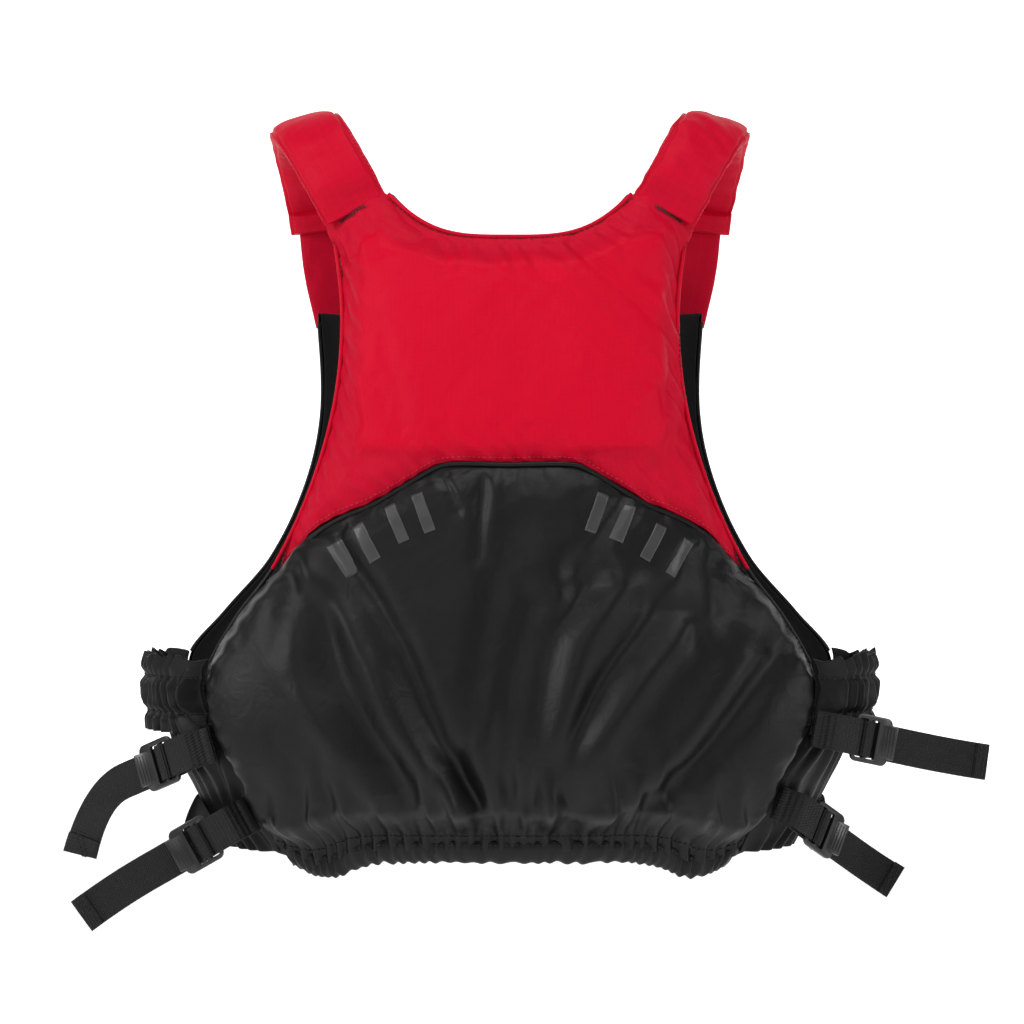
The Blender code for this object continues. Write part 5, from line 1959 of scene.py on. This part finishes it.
    def _load(self) -> None:
        """The strap from under the buckle round the side to the front panel."""
        start = self.matrix @ Vector((0.0, 0.008, self.load_level))
        leave = self.matrix @ Vector((0.0, 0.020, self.load_level - self.load_drop))
        across = self.matrix.to_3x3() @ Vector((1.0, 0.0, 0.0))
        z = max(leave.z, self.load_lowest)
        end = abs(FORM.front_angle(FORM.front_half(z) + 0.004, z))
        facing = math.copysign(1.0, across.z)
        route, sides = [start, leave], [across, across]
        first = max(1.45, abs(math.atan2(abs(leave.x), -leave.y)) + 0.25)
        for share in (0.0, 0.5, 1.0):
            angle = self.side * (first + (end - first) * share)
            route.append(FORM.point(angle, z, self.load_lift + 0.0012))
            sides.append(Vector((0.0, 0.0, facing)))
        path = Route(route, sides)

        def place(s: float, t: float) -> Vector:
            share = (t + 1.0) / 2.0
            point, _, cross, normal = path.at(share)
            turn = s * math.pi
            out = math.copysign(abs(math.cos(turn)) ** 0.35, math.cos(turn)) * self.web_half
            up = math.copysign(abs(math.sin(turn)) ** 0.6, math.sin(turn)) * self.web / 2.0
            return point + cross * out + normal * up

        new = closed_tube("side_strap_" + self.name, 28, 80, place)
        layer = new.data.uv_layers["UVMap"]
        for item in layer.data:
            item.uv = (math.cos(item.uv[0] / 0.04 * math.pi) * self.web_half, item.uv[1] / 0.12 * path.length)
        dress(new, Finish.WEBBING, VEST, "load_strap_" + self.name)


ADJUSTERS = (
    Adjuster("upper_left", -1, -0.431, 0.026, 0.36, 0.61, 0.113, (0.013, -0.020, -0.032)),
    Adjuster("lower_left", -1, -0.479, 0.026, 0.52, 0.17, 0.108, (0.0, -0.004, -0.004)),
    Adjuster("upper_right", 1, -0.420, 0.025, 0.21, 0.44, 0.112, (0.0, -0.010, 0.002)),
    Adjuster("lower_right", 1, -0.471, 0.026, 0.52, 0.70, 0.100, (0.0, -0.016, 0.002)),
)


@dataclass
class Studio:
    """Soft studio light, a pale floor and the camera."""

    eye: tuple[float, float, float] = (0.0014, -2.02, -0.272)
    lens: float = 99.8
    sky: float = 0.12
    backdrop: float = 1.0

    def build(self) -> None:
        """Make the floor, the lights, the sky and the camera."""
        scene = bpy.context.scene
        scene.view_settings.view_transform = "Standard"
        self._floor()
        world = bpy.data.worlds.new("studio_sky")
        scene.world = world
        world.use_nodes = True
        sky = world.node_tree.nodes["Background"]
        sky.inputs["Color"].default_value = (1.0, 1.0, 1.0, 1.0)
        sky.inputs["Strength"].default_value = self.sky
        self._light("top_softbox", (0.1, -0.75, 1.20), (0.0, -0.1, -0.25), 0.8, 12.0)
        self._light("key_softbox", (-1.6, -0.9, 0.40), (0.0, -0.1, -0.27), 0.7, 17.0)
        self._light("fill_softbox", (1.7, -0.8, 0.10), (0.0, -0.1, -0.27), 0.7, 9.0)
        self._light("front_softbox", (-0.3, -2.6, 0.9), (0.0, -0.1, -0.27), 1.2, 9.0)
        self._camera()

    def _floor(self) -> None:
        """A pale floor a little below the vest."""
        bm = bmesh.new()
        bmesh.ops.create_grid(bm, x_segments=1, y_segments=1, size=6.0,
                              matrix=Matrix.Translation((0.0, 0.0, CAD_BOX[0][2] - 0.25)))
        floor = link("studio_floor", bm)
        self._paper(floor, "floor_paper", 0.45)
        bm = bmesh.new()
        turn = Matrix.Translation((0.0, 4.0, 0.0)) @ Matrix.Rotation(math.pi / 2.0, 4, "X")
        bmesh.ops.create_grid(bm, x_segments=1, y_segments=1, size=5.0, matrix=turn)
        self._paper(link("studio_wall", bm), "wall_paper", self.backdrop)

    def _paper(self, piece: bpy.types.Object, name: str, glow: float) -> None:
        """Pale paper that glows a little, as when it is lit by lamps of its own."""
        maker = Maker(name)
        maker.surface("Base Color", (0.9, 0.9, 0.9, 1.0))
        maker.surface("Roughness", 0.9)
        maker.surface("Emission Color", (1.0, 1.0, 1.0, 1.0))
        maker.surface("Emission Strength", glow)
        piece.data.materials.append(maker.material)

    def _light(
        self, name: str, place: Sequence[float], target: Sequence[float], size: float, power: float
    ) -> None:
        """A square area light that looks at a target."""
        light = bpy.data.lights.new(name, "AREA")
        light.energy = power
        light.size = size
        lamp = bpy.data.objects.new(name, light)
        bpy.context.scene.collection.objects.link(lamp)
        lamp.location = place
        lamp.rotation_euler = (Vector(target) - Vector(place)).to_track_quat("-Z", "Y").to_euler()

    def _camera(self) -> None:
        """The camera behind the vest, level with its middle."""
        data = bpy.data.cameras.new("view")
        data.lens = self.lens
        camera = bpy.data.objects.new("view", data)
        bpy.context.scene.collection.objects.link(camera)
        camera.location = self.eye
        camera.rotation_euler = (math.pi / 2.0, 0.0, 0.0)
        bpy.context.scene.camera = camera


def main() -> None:
    """Build every sub-assembly in order, then the studio."""
    logging.basicConfig(level=logging.INFO, format="%(name)s: %(message)s")
    for maker in (
        BackPanels(), FoamPads(), Hems(), FrontPanels(), SidePanels(), Shoulders(), Bindings(), Zip(),
    ):
        maker.build()
        LOG.info("%s done", type(maker).__name__)
    for adjuster in ADJUSTERS:
        adjuster.build()
    Studio().build()


if __name__ == "__main__":
    main()
